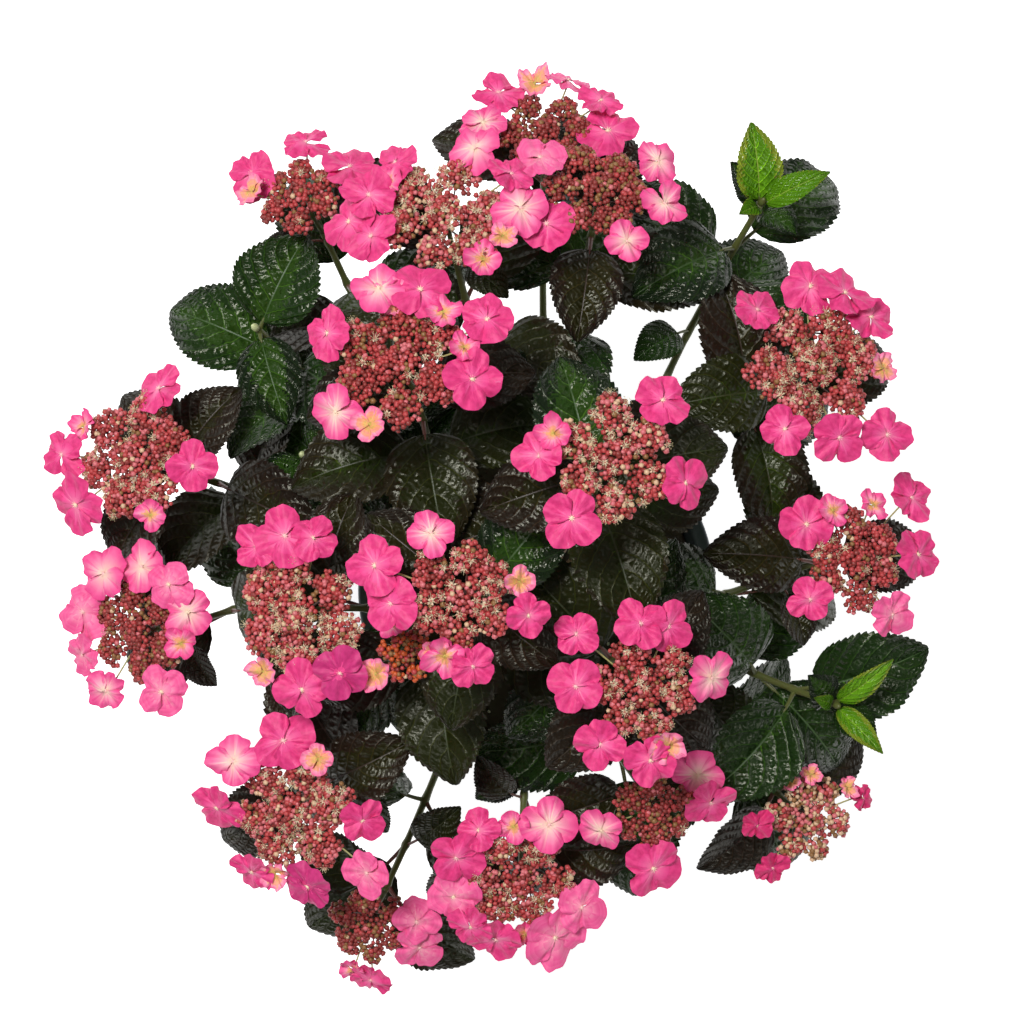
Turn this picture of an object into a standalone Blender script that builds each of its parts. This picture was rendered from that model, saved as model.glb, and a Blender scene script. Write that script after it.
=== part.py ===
"""A lacecap hydrangea in its nursery pot.

Metres, +Z up.  The origin is the middle of the pot's flat underside.  A short woody stock stands
in the compost and carries fourteen canes.  One or two leafy shoots grow on from each cane's tip,
and nineteen of the shoots end in a flat flower head: a disc of small flowers in a ring of large
ray florets.  Each cane, leafy shoot and flower head is one closed solid.
"""

import math
import random
from dataclasses import dataclass, field

import bmesh
import bpy
from mathutils import Matrix, Vector
from mathutils.bvhtree import BVHTree

MM = 0.001
UP = Vector((0.0, 0.0, 1.0))

# ---------------------------------------------------------------- driving dimensions, metres
GAP = 0.0003                    # between two solids that meet
CLEARANCE = 0.0006              # between a leaf or flower and whatever it passes

POT_RIM_RADIUS = 0.130
POT_BASE_RADIUS = 0.097
POT_HEIGHT = 0.220
POT_WALL = 0.002
POT_FLOOR = 0.003
LIP_WIDTH = 0.009               # how far the rolled lip stands out from the wall
LIP_DROP = 0.016
POT_SIDES = 36
DRAIN_RADIUS = 0.007
DRAIN_RING_RADIUS = 0.074
DRAIN_COUNT = 6

SOIL_LEVEL = 0.190
SOIL_MOUND = 0.004              # how much higher the compost lies round the stock

STOCK_HEIGHT = 0.044
STOCK_RADIUS = 0.0165
STOCK_FLARE_RADIUS = 0.027
STOCK_SIDES = 16

CANE_FOOT_RADIUS = 0.0042
CANE_TIP_RADIUS = 0.0032
SHOOT_FOOT_RADIUS = 0.0029
SHOOT_TIP_RADIUS = 0.0021
PEDUNCLE_RADIUS = 0.0019
BRANCH_RADIUS = 0.0011
PEDICEL_RADIUS = 0.0008
CANE_SIDES = 6
STEM_SIDES = 4
PEDUNCLE_SIDES = 5
BRANCHES = 4                    # forks under each flower disc
BRANCH_SPREAD = 0.55            # how far out they reach, as a share of the disc's radius

CANE_REACH = 0.42               # where a cane ends, as a share of the way out to its shoots
CANE_RISE = 0.58                # and as a share of the way up
SIDE_SHOOT_DROP = 0.016         # how far below the cane's tip its second shoot leaves it
STRAIGHT_RUN = 0.005            # straight ends of each limb, so that it meets the next squarely
LIMB_STATIONS = 3               # stations along the bend between them
BEND_HANDLE = 0.36              # how firmly a limb keeps its first and last directions
CANE_UPTURN = 0.5               # how much a cane's tip turns up from the way to its shoots
SIDE_SHOOT_ANGLE = math.radians(51)
CROWN_RADIUS = 0.330
EDGE_LEAN = math.radians(30)    # how far a shoot at the crown's edge leans outward

PEDUNCLE = 0.050                # from the top pair of leaves to the flower disc
PAIR_DROP = 0.008               # from a shoot's tip down to its top pair of leaves
INTERNODE = 0.036
PETIOLE = 0.017
PETIOLE_HALF_WIDTH = 0.0014
LEAF_HALF_THICKNESS = 0.0006
LEAF_HALF_WIDTH = 0.34          # as a share of the blade's length
LEAF_OUTLINE = ((0.36, 1.0), (0.74, 0.66))      # shares of the blade's length and width
LEAF_RISE = math.radians(42)    # the petiole's angle above level
LEAF_DROOP = math.radians(-34)  # the tip's angle
LEAF_FOLD = math.radians(14)    # each half blade lifts from the midrib
BUD_LEAF_SCALE = 0.42           # the young pair at a leafy tip
BUD_LEAF_RISE = math.radians(62)
BUD_LEAF_ARCH = math.radians(50)
PAIR_SIZES = (0.84, 1.0, 1.02, 0.96)            # from the top pair down
LEAF_UPRIGHT = 0.55             # how far a leaf turns from its stem's lean to level
LEAF_SHRINKS = (1.0, 0.84, 0.70)                # tried in turn where a leaf is in the way
LEAF_TILTS = (0, 12, -12, 24)                   # degrees
LEAF_SWINGS = (0, 14, -14, 28, -28)             # degrees

DISC_DEPTH = 0.020              # from the peduncle's fork to the flower disc
DISC_THICKNESS = 0.22           # half of it, as a share of its radius
DISC_KNOTS = 6
DISC_EDGE = 1.15                # its knots, as a share of the radius of the ball it starts as
DISC_NOTCH = 0.90
FLORET_RADIUS = 0.0200
FLORET_HALF_THICKNESS = 0.0012
FLORET_NOTCH = 0.76             # radius between two sepals, as a share of the floret's
FLORET_LIFT = 0.004
FLORET_LEAN = math.radians(16)
RAY_MARGIN = 0.014              # how far outside the disc a ray floret's middle lies
FAR_RAY_MARGIN = 0.027
RAY_ROOT = 0.62                 # where its stalk leaves the disc, as a share of its radius
RAY_LIFTS = (0.0, 0.004, -0.004, 0.008, -0.008, 0.013, -0.013, 0.018)


# ---------------------------------------------------------------- the plant's plan
@dataclass(frozen=True)
class Shoot:
    """A leafy shoot.  Lengths are millimetres, bearings are degrees anticlockwise from +X."""

    top: tuple                  # middle of its flower disc, or the bud at a leafy tip
    turn: float                 # bearing of its top pair of full-sized leaves
    disc: float = 0.0           # radius of its disc of small flowers, 0 for a leafy tip
    rays: tuple = ()            # bearings of its open ray florets
    far: tuple = ()             # of those on longer stalks
    pairs: int = 3
    leaf: float = 80.0          # length of a blade


@dataclass(frozen=True)
class Cane:
    """A woody cane: the bearing and height at which it leaves the stock, and its shoots."""

    bearing: float
    rise: float                 # millimetres above the compost
    slope: float                # degrees above level where it leaves the stock
    shoots: tuple


CANES = (
    Cane(122, 15, 45, (
        Shoot((-158, 265, 400), 25, 24, (25, 90, 150)),
        Shoot((-188, 178, 380), 150, leaf=84))),
    Cane(88, 15, 45, (
        Shoot((-61, 246, 460), 140, 35, (-160, 0, 30, 70, 130, 165), (180,)),)),
    Cane(54, 15, 45, (
        Shoot((38, 263, 450), 76, 29, (-140, -70, -20, 30, 150)),
        Shoot((4, 308, 400), 160, 27, (-5, 30, 70, 135, 180), pairs=2))),
    Cane(20, 15, 45, (
        Shoot((175, 150, 460), 10, 37, (-120, -80, 40, 65, 90, 140), (-45,)),
        Shoot((146, 259, 400), 40))),
    Cane(-16, 15, 42, (
        Shoot((205, 25, 430), 0, 29, (-145, -55, 5, 150), (45,)),
        Shoot((195, -71, 400), 45))),
    Cane(-52, 15, 42, (
        Shoot((182, -152, 360), 35, 26, (-130, 20, 175)),
        Shoot((75, -140, 420), 10, 23, (-165, -90, 10, 40)))),
    Cane(-88, 15, 42, (
        Shoot((-13, -186, 400), 30, 31, (-165, -135, -110, -60, -25, 65, 125, 155)),)),
    Cane(-124, 15, 42, (
        Shoot((-162, -140, 420), 25, 36, (-180, -125, -80, 0, 90, 135), (-35,)),
        Shoot((-116, -226, 350), -45, 24, (-90, -15, 20)))),
    Cane(194, 15, 42, (
        Shoot((-155, -8, 460), 70, 35, (-85, -50, 75, 98, 122)),
        Shoot((-84, -35, 470), 10, 15, pairs=2))),
    Cane(158, 15, 42, (
        Shoot((-268, -24, 380), 115, 30, (-160, -120, -60, 18, 45, 80, 120, 165)),
        Shoot((-266, 91, 420), 50, 35, (-145, -10, 65, 175)))),
    Cane(150, 22, 58, (
        Shoot((-89, 148, 500), 10, 35, (-140, -15, 75, 105, 155), (25,)),
        Shoot((-158, 94, 360), 130, leaf=84))),
    Cane(60, 22, 58, (
        Shoot((44, 89, 540), 15, 32, (-125, -20, 50, 180)),)),
    Cane(-40, 22, 58, (
        Shoot((64, -55, 500), 45, 29, (-130, -85, 10, 70, 95, 175), (140,)),)),
    Cane(180, 40, 86, (
        Shoot((-49, 4, 530), -40, 29, (-175, -80, -15, 115), (160,)),)),
)


# ---------------------------------------------------------------- materials and objects
def make_material(name, colour, roughness):
    """A plain finish."""
    material = bpy.data.materials.new(name)
    material.use_nodes = True
    shader = material.node_tree.nodes["Principled BSDF"]
    shader.inputs["Base Color"].default_value = (*colour, 1.0)
    shader.inputs["Roughness"].default_value = roughness
    shader.inputs["Metallic"].default_value = 0.0
    return material


def make_object(name, mesh, collection, material=None):
    """Link a mesh into the scene as an object."""
    piece = bpy.data.objects.new(name, mesh)
    collection.objects.link(piece)
    if material:
        mesh.materials.clear()
        mesh.materials.append(material)
    return piece


def make_cutter(name, mesh, collection):
    """An object that only cuts others."""
    cutter = make_object(name, mesh, collection)
    cutter.hide_render = True
    cutter.display_type = "WIRE"
    return cutter


def mesh_from(shape, name):
    """Turn a bmesh into a mesh of triangles that point out."""
    bmesh.ops.triangulate(shape, faces=shape.faces[:])
    bmesh.ops.recalc_face_normals(shape, faces=shape.faces[:])
    mesh = bpy.data.meshes.new(name)
    shape.to_mesh(mesh)
    shape.free()
    return mesh


def evaluated_mesh(piece):
    """The mesh that an object's modifiers, or a curve's bevel, make of it."""
    graph = bpy.context.evaluated_depsgraph_get()
    return bpy.data.meshes.new_from_object(piece.evaluated_get(graph))


# ---------------------------------------------------------------- directions
def bearing_vector(degrees):
    """The level direction at a bearing."""
    angle = math.radians(degrees)
    return Vector((math.cos(angle), math.sin(angle), 0.0))


def lean_of(place):
    """The direction of a shoot's tip, which leans outward the nearer it is to the edge."""
    outward = Vector((place.x, place.y, 0.0))
    angle = EDGE_LEAN * outward.length / CROWN_RADIUS
    return (UP * math.cos(angle) + outward.normalized() * math.sin(angle)).normalized()


def square_to(axis, degrees):
    """The direction at a bearing, turned square to an axis."""
    level = bearing_vector(degrees)
    return (level - axis * level.dot(axis)).normalized()


# ---------------------------------------------------------------- pot and compost
def pot_wall_radius(height):
    """The outside radius of the pot's wall at a height."""
    top_radius = POT_RIM_RADIUS - LIP_WIDTH
    return POT_BASE_RADIUS + (top_radius - POT_BASE_RADIUS) * height / POT_HEIGHT


def turned_mesh(name, profile):
    """A mesh of a profile's points at +X, for a Screw modifier to turn."""
    points = [(radius, 0.0, height) for radius, height in profile]
    edges = [(k, k + 1) for k in range(len(points) - 1)]
    mesh = bpy.data.meshes.new(name)
    mesh.from_pydata(points, edges, [])
    return mesh


def turned_object(name, profile, sides, collection, material=None):
    """A profile turned about the Z axis."""
    piece = make_object(name, turned_mesh(name, profile), collection, material)
    turn = piece.modifiers.new("turn", "SCREW")
    turn.steps = sides
    turn.render_steps = sides
    turn.use_merge_vertices = True
    turn.merge_threshold = 0.00001
    return piece


def pot_profile():
    """From the middle of the pot's floor up the inside, over the lip and down the outside."""
    lip_inside = POT_RIM_RADIUS - LIP_WIDTH - POT_WALL
    roll = 0.003
    return (
        (0.0, POT_FLOOR),
        (pot_wall_radius(POT_FLOOR) - POT_WALL, POT_FLOOR),
        (lip_inside, POT_HEIGHT - roll),
        (lip_inside + roll, POT_HEIGHT),
        (POT_RIM_RADIUS - roll, POT_HEIGHT),
        (POT_RIM_RADIUS, POT_HEIGHT - roll),
        (POT_RIM_RADIUS, POT_HEIGHT - LIP_DROP),
        (POT_RIM_RADIUS - POT_WALL, POT_HEIGHT - LIP_DROP),
        (pot_wall_radius(POT_HEIGHT - LIP_DROP), POT_HEIGHT - LIP_DROP + roll),
        (POT_BASE_RADIUS, roll),
        (POT_BASE_RADIUS - roll, 0.0),
        (0.0, 0.0),
    )


def make_pot(collection, drains, material):
    """The nursery pot, with round drain holes in its floor."""
    for k in range(DRAIN_COUNT):
        shape = bmesh.new()
        bmesh.ops.create_cone(shape, cap_ends=True, segments=8, radius1=DRAIN_RADIUS,
                              radius2=DRAIN_RADIUS, depth=4 * POT_FLOOR)
        cutter = make_cutter(f"drain_{k + 1}", mesh_from(shape, "drain"), drains)
        cutter.location = bearing_vector(k * 360 / DRAIN_COUNT) * DRAIN_RING_RADIUS
    pot = turned_object("pot", pot_profile(), POT_SIDES, collection, material)
    cut = pot.modifiers.new("drains", "BOOLEAN")
    cut.operation = "DIFFERENCE"
    cut.operand_type = "COLLECTION"
    cut.collection = drains


def make_soil(collection, material):
    """The compost that fills the pot, mounded a little round the stock."""
    bottom = POT_FLOOR + GAP
    shrink = POT_WALL + 2 * GAP
    mound_radius = STOCK_FLARE_RADIUS * 1.6
    mound_foot = mound_radius * 1.8
    profile = (
        (0.0, SOIL_LEVEL + SOIL_MOUND),
        (mound_radius, SOIL_LEVEL + SOIL_MOUND),
        (mound_foot, SOIL_LEVEL),
        (pot_wall_radius(SOIL_LEVEL) - shrink, SOIL_LEVEL),
        (pot_wall_radius(bottom) - shrink, bottom),
        (0.0, bottom),
    )
    return turned_object("soil", profile, POT_SIDES, collection, material)


# ---------------------------------------------------------------- limbs
def stock_profile(grown):
    """The stock's outline, top to bottom, grown by a margin."""
    foot = SOIL_LEVEL + SOIL_MOUND + GAP
    shares = (
        (0.0, 1.0, 0.0),
        (0.62, 0.97, 0.0),
        (0.93, 0.82, 0.0),
        (1.0, 0.55, 0.0),
        (0.95, 0.30, 0.0),
        (1.0, 0.12, 0.4),
        (1.0, 0.0, 1.0),
        (0.0, 0.0, 0.0),
    )
    profile = []
    for radius_share, height_share, flare in shares:
        radius = STOCK_RADIUS + flare * (STOCK_FLARE_RADIUS - STOCK_RADIUS)
        edge = grown if radius_share else 0.0
        lift = grown if height_share > 0.5 else -grown if height_share == 0.0 else 0.0
        profile.append((radius * radius_share + edge, foot + STOCK_HEIGHT * height_share + lift))
    return profile


def bend(start, start_way, end, end_way):
    """Points along a limb: straight at both ends and an even bend between."""
    first = start + start_way * STRAIGHT_RUN
    last = end - end_way * STRAIGHT_RUN
    handle = (last - first).length * BEND_HANDLE
    leave = first + start_way * handle
    arrive = last - end_way * handle
    points = [start, first]
    for k in range(1, LIMB_STATIONS):
        t = k / LIMB_STATIONS
        s = 1.0 - t
        points.append(first * s ** 3 + leave * 3 * s * s * t + arrive * 3 * s * t * t
                      + last * t ** 3)
    return points + [last, end]


def limb_mesh(name, points, foot_radius, tip_radius, sides):
    """A tapering limb along points, closed at both ends."""
    curve = bpy.data.curves.new(name, "CURVE")
    curve.dimensions = "3D"
    curve.bevel_depth = 1.0
    curve.bevel_resolution = (sides - 4) // 2
    curve.use_fill_caps = True
    spline = curve.splines.new("POLY")
    spline.points.add(len(points) - 1)
    for k, place in enumerate(points):
        share = k / (len(points) - 1)
        spline.points[k].co = (*place, 1.0)
        spline.points[k].radius = foot_radius + (tip_radius - foot_radius) * share
    rod = make_object(name, curve, bpy.context.scene.collection)
    mesh = evaluated_mesh(rod)
    bpy.data.objects.remove(rod)
    bpy.data.curves.remove(curve)
    shape = bmesh.new()
    shape.from_mesh(mesh)
    bpy.data.meshes.remove(mesh)
    bmesh.ops.remove_doubles(shape, verts=shape.verts[:], dist=0.00001)
    return mesh_from(shape, name)


def rod_mesh(start, end, start_radius, end_radius, sides=3):
    """A straight twig, closed at both ends."""
    along = end - start
    turn = along.to_track_quat("Z", "Y").to_matrix().to_4x4()
    place = Matrix.Translation((start + end) / 2) @ turn
    shape = bmesh.new()
    bmesh.ops.create_cone(shape, cap_ends=True, segments=sides, radius1=start_radius,
                          radius2=end_radius, depth=along.length, matrix=place)
    return mesh_from(shape, "rod")


def cut_clear(piece, cutter):
    """Cut a limb's foot back to the limb that carries it."""
    cut = piece.modifiers.new("foot", "BOOLEAN")
    cut.operation = "DIFFERENCE"
    cut.object = cutter


# ---------------------------------------------------------------- leaves
@dataclass(frozen=True)
class LeafPose:
    """Where a leaf springs from, its frame, its size and how it arches."""

    root: Vector
    forward: Vector
    up: Vector
    blade: float
    petiole: float
    rise: float
    droop: float

    def spine(self, distance):
        """The point at a distance along the petiole and midrib, and the leaf's up there."""
        length = self.petiole + self.blade
        turn = self.droop - self.rise
        angle = self.rise + turn * distance / length
        level = length * (math.sin(angle) - math.sin(self.rise)) / turn
        height = -length * (math.cos(angle) - math.cos(self.rise)) / turn
        upward = self.up * math.cos(angle) - self.forward * math.sin(angle)
        return self.root + self.forward * level + self.up * height, upward


def leaf_mesh(pose):
    """A leaf and its petiole: a slim lens with three stations between root and tip."""
    length = pose.petiole + pose.blade
    half_width = pose.blade * LEAF_HALF_WIDTH
    stations = [(0.0, 0.0), (pose.petiole, PETIOLE_HALF_WIDTH)]
    stations += [(pose.petiole + pose.blade * share, half_width * width)
                 for share, width in LEAF_OUTLINE]
    stations.append((length, 0.0))
    last = len(stations) - 1
    across = pose.up.cross(pose.forward)
    shape = bmesh.new()
    bmesh.ops.create_uvsphere(shape, u_segments=4, v_segments=last, radius=1.0)
    for vertex in shape.verts:
        polar = math.acos(max(-1.0, min(1.0, vertex.co.z)))
        ring = last - round(polar * last / math.pi)
        girth = math.sin(polar) if 0 < ring < last else 1.0
        side = round(vertex.co.x / girth)
        face = round(vertex.co.y / girth)
        distance, width = stations[ring]
        middle, upward = pose.spine(distance)
        fold = math.tan(LEAF_FOLD) if ring > 1 else 0.0
        vertex.co = (middle + across * side * width + upward * abs(side) * width * fold
                     + upward * face * LEAF_HALF_THICKNESS * (1 if ring > 1 else 2))
    return mesh_from(shape, "leaf")


# ---------------------------------------------------------------- flowers
def floret_mesh(middle, facing, bearing, radius):
    """A ray floret: four blunt sepals round a thicker middle."""
    shape = bmesh.new()
    bmesh.ops.create_uvsphere(shape, u_segments=12, v_segments=2, radius=radius)
    for vertex in shape.verts:
        at_rim = abs(vertex.co.z) < radius / 2
        if at_rim:
            angle = math.degrees(math.atan2(vertex.co.y, vertex.co.x))
            notch = round(angle) % 90 == 0
            vertex.co *= FLORET_NOTCH if notch else 1.0
        else:
            vertex.co.z = math.copysign(FLORET_HALF_THICKNESS, vertex.co.z)
    turn = facing.to_track_quat("Z", "Y").to_matrix().to_4x4()
    spin = Matrix.Rotation(math.radians(bearing), 4, "Z")
    bmesh.ops.transform(shape, matrix=Matrix.Translation(middle) @ turn @ spin, verts=shape.verts)
    return mesh_from(shape, "floret")


def disc_mesh(middle, facing, radius):
    """The disc of small flowers: a low cushion with a knotted rim."""
    shape = bmesh.new()
    bmesh.ops.create_uvsphere(shape, u_segments=DISC_KNOTS * 2, v_segments=3, radius=radius)
    for vertex in shape.verts:
        vertex.co.z *= DISC_THICKNESS
        at_pole = vertex.co.xy.length < radius / 2
        if not at_pole:
            angle = math.atan2(vertex.co.y, vertex.co.x)
            dip = round(angle * DISC_KNOTS / math.pi) % 2
            vertex.co.xy *= DISC_EDGE * (DISC_NOTCH if dip else 1.0)
    turn = facing.to_track_quat("Z", "Y").to_matrix().to_4x4()
    bmesh.ops.transform(shape, matrix=Matrix.Translation(middle) @ turn, verts=shape.verts)
    return mesh_from(shape, "disc")


# ---------------------------------------------------------------- keeping to their own space
class Space:
    """What each node already fills."""

    def __init__(self):
        self.pieces = []

    @staticmethod
    def hull(mesh, margin):
        """A mesh's faces as a search tree, and its box, with its surface moved out."""
        places = [vertex.co + vertex.normal * margin for vertex in mesh.vertices]
        faces = [tuple(face.vertices) for face in mesh.polygons]
        low = [min(place[k] for place in places) for k in range(3)]
        high = [max(place[k] for place in places) for k in range(3)]
        return BVHTree.FromPolygons(places, faces), low, high

    def take(self, mesh, owner):
        """Note that a mesh fills its room, for a node or for one floret of a node."""
        self.pieces.append((owner, *self.hull(mesh, 0.0)))

    def is_free(self, mesh, owner, carrier=None):
        """Whether a mesh keeps clear of all but its owner's pieces and its carrier's."""
        tree, low, high = self.hull(mesh, CLEARANCE)
        for other_owner, other, other_low, other_high in self.pieces:
            if other_owner in (owner, carrier):
                continue
            if any(low[k] > other_high[k] or other_low[k] > high[k] for k in range(3)):
                continue
            if tree.overlap(other):
                return False
        return True


def first_free(space, node, choices):
    """The first of some meshes that keeps clear of the other nodes, or None."""
    for mesh in choices:
        if space.is_free(mesh, node):
            space.take(mesh, node)
            return mesh
        bpy.data.meshes.remove(mesh)
    return None


# ---------------------------------------------------------------- joining
def keep_largest_body(mesh):
    """Drop loose scraps and fill sealed hollows: only the largest body stays."""
    shape = bmesh.new()
    shape.from_mesh(mesh)
    unseen = set(shape.faces)
    bodies = []
    while unseen:
        body = {unseen.pop()}
        edge_of_search = list(body)
        while edge_of_search:
            face = edge_of_search.pop()
            for edge in face.edges:
                for near in edge.link_faces:
                    if near in unseen:
                        unseen.discard(near)
                        body.add(near)
                        edge_of_search.append(near)
        bodies.append(body)
    largest = max(bodies, key=lambda body: sum(face.calc_area() for face in body))
    scraps = [face for body in bodies if body is not largest for face in body]
    bmesh.ops.delete(shape, geom=scraps, context="FACES")
    loose = [vertex for vertex in shape.verts if not vertex.link_faces]
    bmesh.ops.delete(shape, geom=loose, context="VERTS")
    shape.to_mesh(mesh)
    shape.free()


def fuse(name, stem, grown, collection, material):
    """Join what grows on a stem to it, as one closed body in one object."""
    pieces = bpy.data.collections.new(f"{name}_pieces")
    bpy.context.scene.collection.children.link(pieces)
    for k, mesh in enumerate(grown):
        make_object(f"{name}_piece_{k:02d}", mesh, pieces)
    union = stem.modifiers.new("grow", "BOOLEAN")
    union.operation = "UNION"
    union.operand_type = "COLLECTION"
    union.collection = pieces
    union.solver = "EXACT"
    bpy.context.view_layer.update()
    mesh = evaluated_mesh(stem)
    for piece in list(pieces.objects) + [stem]:
        bpy.data.objects.remove(piece)
    bpy.data.collections.remove(pieces)
    keep_largest_body(mesh)
    mesh.name = name
    return make_object(name, mesh, collection, material)


# ---------------------------------------------------------------- growth
@dataclass
class GrownLimb:
    """A cane, shoot or flower stalk on its way to becoming a node, and what grows on it."""

    name: str
    plan: object
    path: list
    mesh: bpy.types.Mesh
    carrier_path: list | None = None
    grown: list = field(default_factory=list)

    @property
    def tip_way(self):
        """The direction in which the limb ends."""
        return (self.path[-1] - self.path[-2]).normalized()


def shoot_tip(plan):
    """Where a shoot's leafy stem ends, below its flower head, and which way it points."""
    top = Vector(plan.top) * MM
    lean = lean_of(top)
    return top - lean * (PEDUNCLE if plan.disc else 0.0), lean


def cane_path(cane):
    """Points along a cane from inside the stock to its tip."""
    tips = [shoot_tip(plan)[0] for plan in cane.shoots]
    middle = sum(tips, Vector()) / len(tips)
    foot = Vector((0.0, 0.0, SOIL_LEVEL + SOIL_MOUND + cane.rise * MM))
    slope = math.radians(cane.slope)
    leave = bearing_vector(cane.bearing) * math.cos(slope) + UP * math.sin(slope)
    reach = Vector((middle.x, middle.y, 0.0)) * CANE_REACH
    end = reach + UP * (foot.z + (middle.z - foot.z) * CANE_RISE)
    arrive = ((middle - end).normalized() + UP * CANE_UPTURN).normalized()
    return bend(foot, leave, end, arrive)


def shoot_path(cane_points, plan, is_side):
    """Points along a leafy shoot: on from the cane's tip, or out of its side just below."""
    tip, lean = shoot_tip(plan)
    end = cane_points[-1]
    onward = (end - cane_points[-2]).normalized()
    if not is_side:
        return bend(end + onward * GAP, onward, tip, lean)
    start = end - onward * SIDE_SHOOT_DROP
    outward = tip - start
    sideways = (outward - onward * outward.dot(onward)).normalized()
    leave = onward * math.cos(SIDE_SHOOT_ANGLE) + sideways * math.sin(SIDE_SHOOT_ANGLE)
    return bend(start, leave, tip, lean)


def head_pieces(plan, lean, space, node):
    """The disc, branches and ray florets of a flower head, clear of the other nodes."""
    middle = Vector(plan.top) * MM
    disc = plan.disc * MM
    fork = middle - lean * DISC_DEPTH
    pieces = [disc_mesh(middle, lean, disc)]
    for k in range(BRANCHES):
        way = square_to(lean, plan.turn + k * 360 / BRANCHES)
        tip = middle + way * disc * BRANCH_SPREAD
        pieces.append(rod_mesh(fork - lean * BRANCH_RADIUS, tip, BRANCH_RADIUS, BRANCH_RADIUS))
    for mesh in pieces:
        space.take(mesh, node)
    for bearings, margin in ((plan.rays, RAY_MARGIN), (plan.far, FAR_RAY_MARGIN)):
        for bearing in bearings:
            pieces += ray_floret(plan, lean, bearing, disc + margin, space, node)
    return pieces


def ray_floret(plan, lean, bearing, reach, space, node):
    """One ray floret on its stalk, raised or lowered until it is clear."""
    owner = f"{node} ray {bearing}"
    dealt = random.Random(owner)
    radius = FLORET_RADIUS * dealt.uniform(0.90, 1.06)
    way = square_to(lean, bearing)
    facing = (lean * math.cos(FLORET_LEAN) + way * math.sin(FLORET_LEAN)).normalized()
    middle = Vector(plan.top) * MM
    root = middle + way * plan.disc * MM * RAY_ROOT
    for lift in RAY_LIFTS:
        place = middle + way * reach + lean * (FLORET_LIFT + lift)
        floret = floret_mesh(place, facing, bearing, radius)
        stalk = rod_mesh(root, place - facing * FLORET_HALF_THICKNESS * 0.2,
                         PEDICEL_RADIUS, PEDICEL_RADIUS)
        if space.is_free(floret, owner, node) and space.is_free(stalk, owner, node):
            space.take(floret, owner)
            space.take(stalk, owner)
            return [stalk, floret]
    return []


def point_below_tip(path, drop):
    """The point on a stem at a distance below its tip, and the stem's direction there."""
    for k in range(len(path) - 1, 0, -1):
        step = path[k] - path[k - 1]
        if drop <= step.length:
            return path[k] - step.normalized() * drop, step.normalized()
        drop -= step.length
    return None


def leaf_pairs(plan):
    """How many pairs of leaves a shoot has, with the young pair at a leafy tip."""
    return plan.pairs + (0 if plan.disc else 1)


def leaf_choices(shoot, pair, side):
    """A leaf's meshes, the wished-for one first and then turned, tilted and smaller ones."""
    plan = shoot.plan
    is_young = not plan.disc and pair == 0
    drop = PAIR_DROP + pair * INTERNODE
    found = point_below_tip(shoot.path, drop)
    if not found:
        return
    root, along = found
    dealt = random.Random(f"{shoot.name} {pair} {side}")
    size = PAIR_SIZES[pair] * dealt.uniform(0.92, 1.08)
    rise = LEAF_RISE + math.radians(dealt.uniform(-8, 8))
    droop = LEAF_DROOP + math.radians(dealt.uniform(-10, 10))
    if is_young:
        size = BUD_LEAF_SCALE
        rise = BUD_LEAF_RISE
        droop = BUD_LEAF_RISE - BUD_LEAF_ARCH
    first = 0 if plan.disc else -90
    bearing = plan.turn + first + pair * 90 + side * 180 + dealt.uniform(-6, 6)
    stem_up = along.lerp(UP, LEAF_UPRIGHT).normalized()
    petiole = PETIOLE * (0.5 if is_young else 1.0)
    for shrink in LEAF_SHRINKS:
        for tilt in LEAF_TILTS:
            for swing in LEAF_SWINGS:
                forward = square_to(stem_up, bearing + swing)
                pose = LeafPose(root, forward, stem_up, plan.leaf * MM * size * shrink, petiole,
                                rise + math.radians(tilt), droop + math.radians(tilt))
                yield leaf_mesh(pose)


def grow_leaves(shoots, space):
    """Deal out the leaves, the topmost pair of every shoot first."""
    for pair in range(max(leaf_pairs(shoot.plan) for shoot in shoots)):
        for shoot in shoots:
            if pair >= leaf_pairs(shoot.plan):
                continue
            for side in range(2):
                leaf = first_free(space, shoot.name, leaf_choices(shoot, pair, side))
                if leaf:
                    shoot.grown.append(leaf)


def grow_limbs(space):
    """The canes and, growing on from each, its leafy shoots."""
    canes = []
    shoots = []
    for number, cane in enumerate(CANES, 1):
        name = f"cane_{number:02d}"
        path = cane_path(cane)
        mesh = limb_mesh(name, path, CANE_FOOT_RADIUS, CANE_TIP_RADIUS, CANE_SIDES)
        space.take(mesh, name)
        canes.append(GrownLimb(name, cane, path, mesh))
        for order, plan in enumerate(cane.shoots):
            is_side = order > 0
            shoot_name = f"leaves_{len(shoots) + 1:02d}"
            onward = shoot_path(path, plan, is_side)
            stem = limb_mesh(shoot_name, onward, SHOOT_FOOT_RADIUS, SHOOT_TIP_RADIUS, STEM_SIDES)
            space.take(stem, shoot_name)
            shoots.append(GrownLimb(shoot_name, plan, onward, stem, path if is_side else None))
    return canes, shoots


def grow_heads(shoots, space):
    """A flower head on each shoot that has one."""
    heads = []
    for shoot in shoots:
        if not shoot.plan.disc:
            continue
        name = f"flower_head_{len(heads) + 1:02d}"
        lean = shoot.tip_way
        foot = shoot.path[-1] + lean * GAP
        fork = Vector(shoot.plan.top) * MM - lean * (DISC_DEPTH - BRANCH_RADIUS)
        stalk = rod_mesh(foot, fork, PEDUNCLE_RADIUS, PEDUNCLE_RADIUS * 0.85, PEDUNCLE_SIDES)
        space.take(stalk, name)
        head = GrownLimb(name, shoot.plan, [foot, fork], stalk)
        head.grown = head_pieces(shoot.plan, lean, space, name)
        heads.append(head)
    return heads


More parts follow.
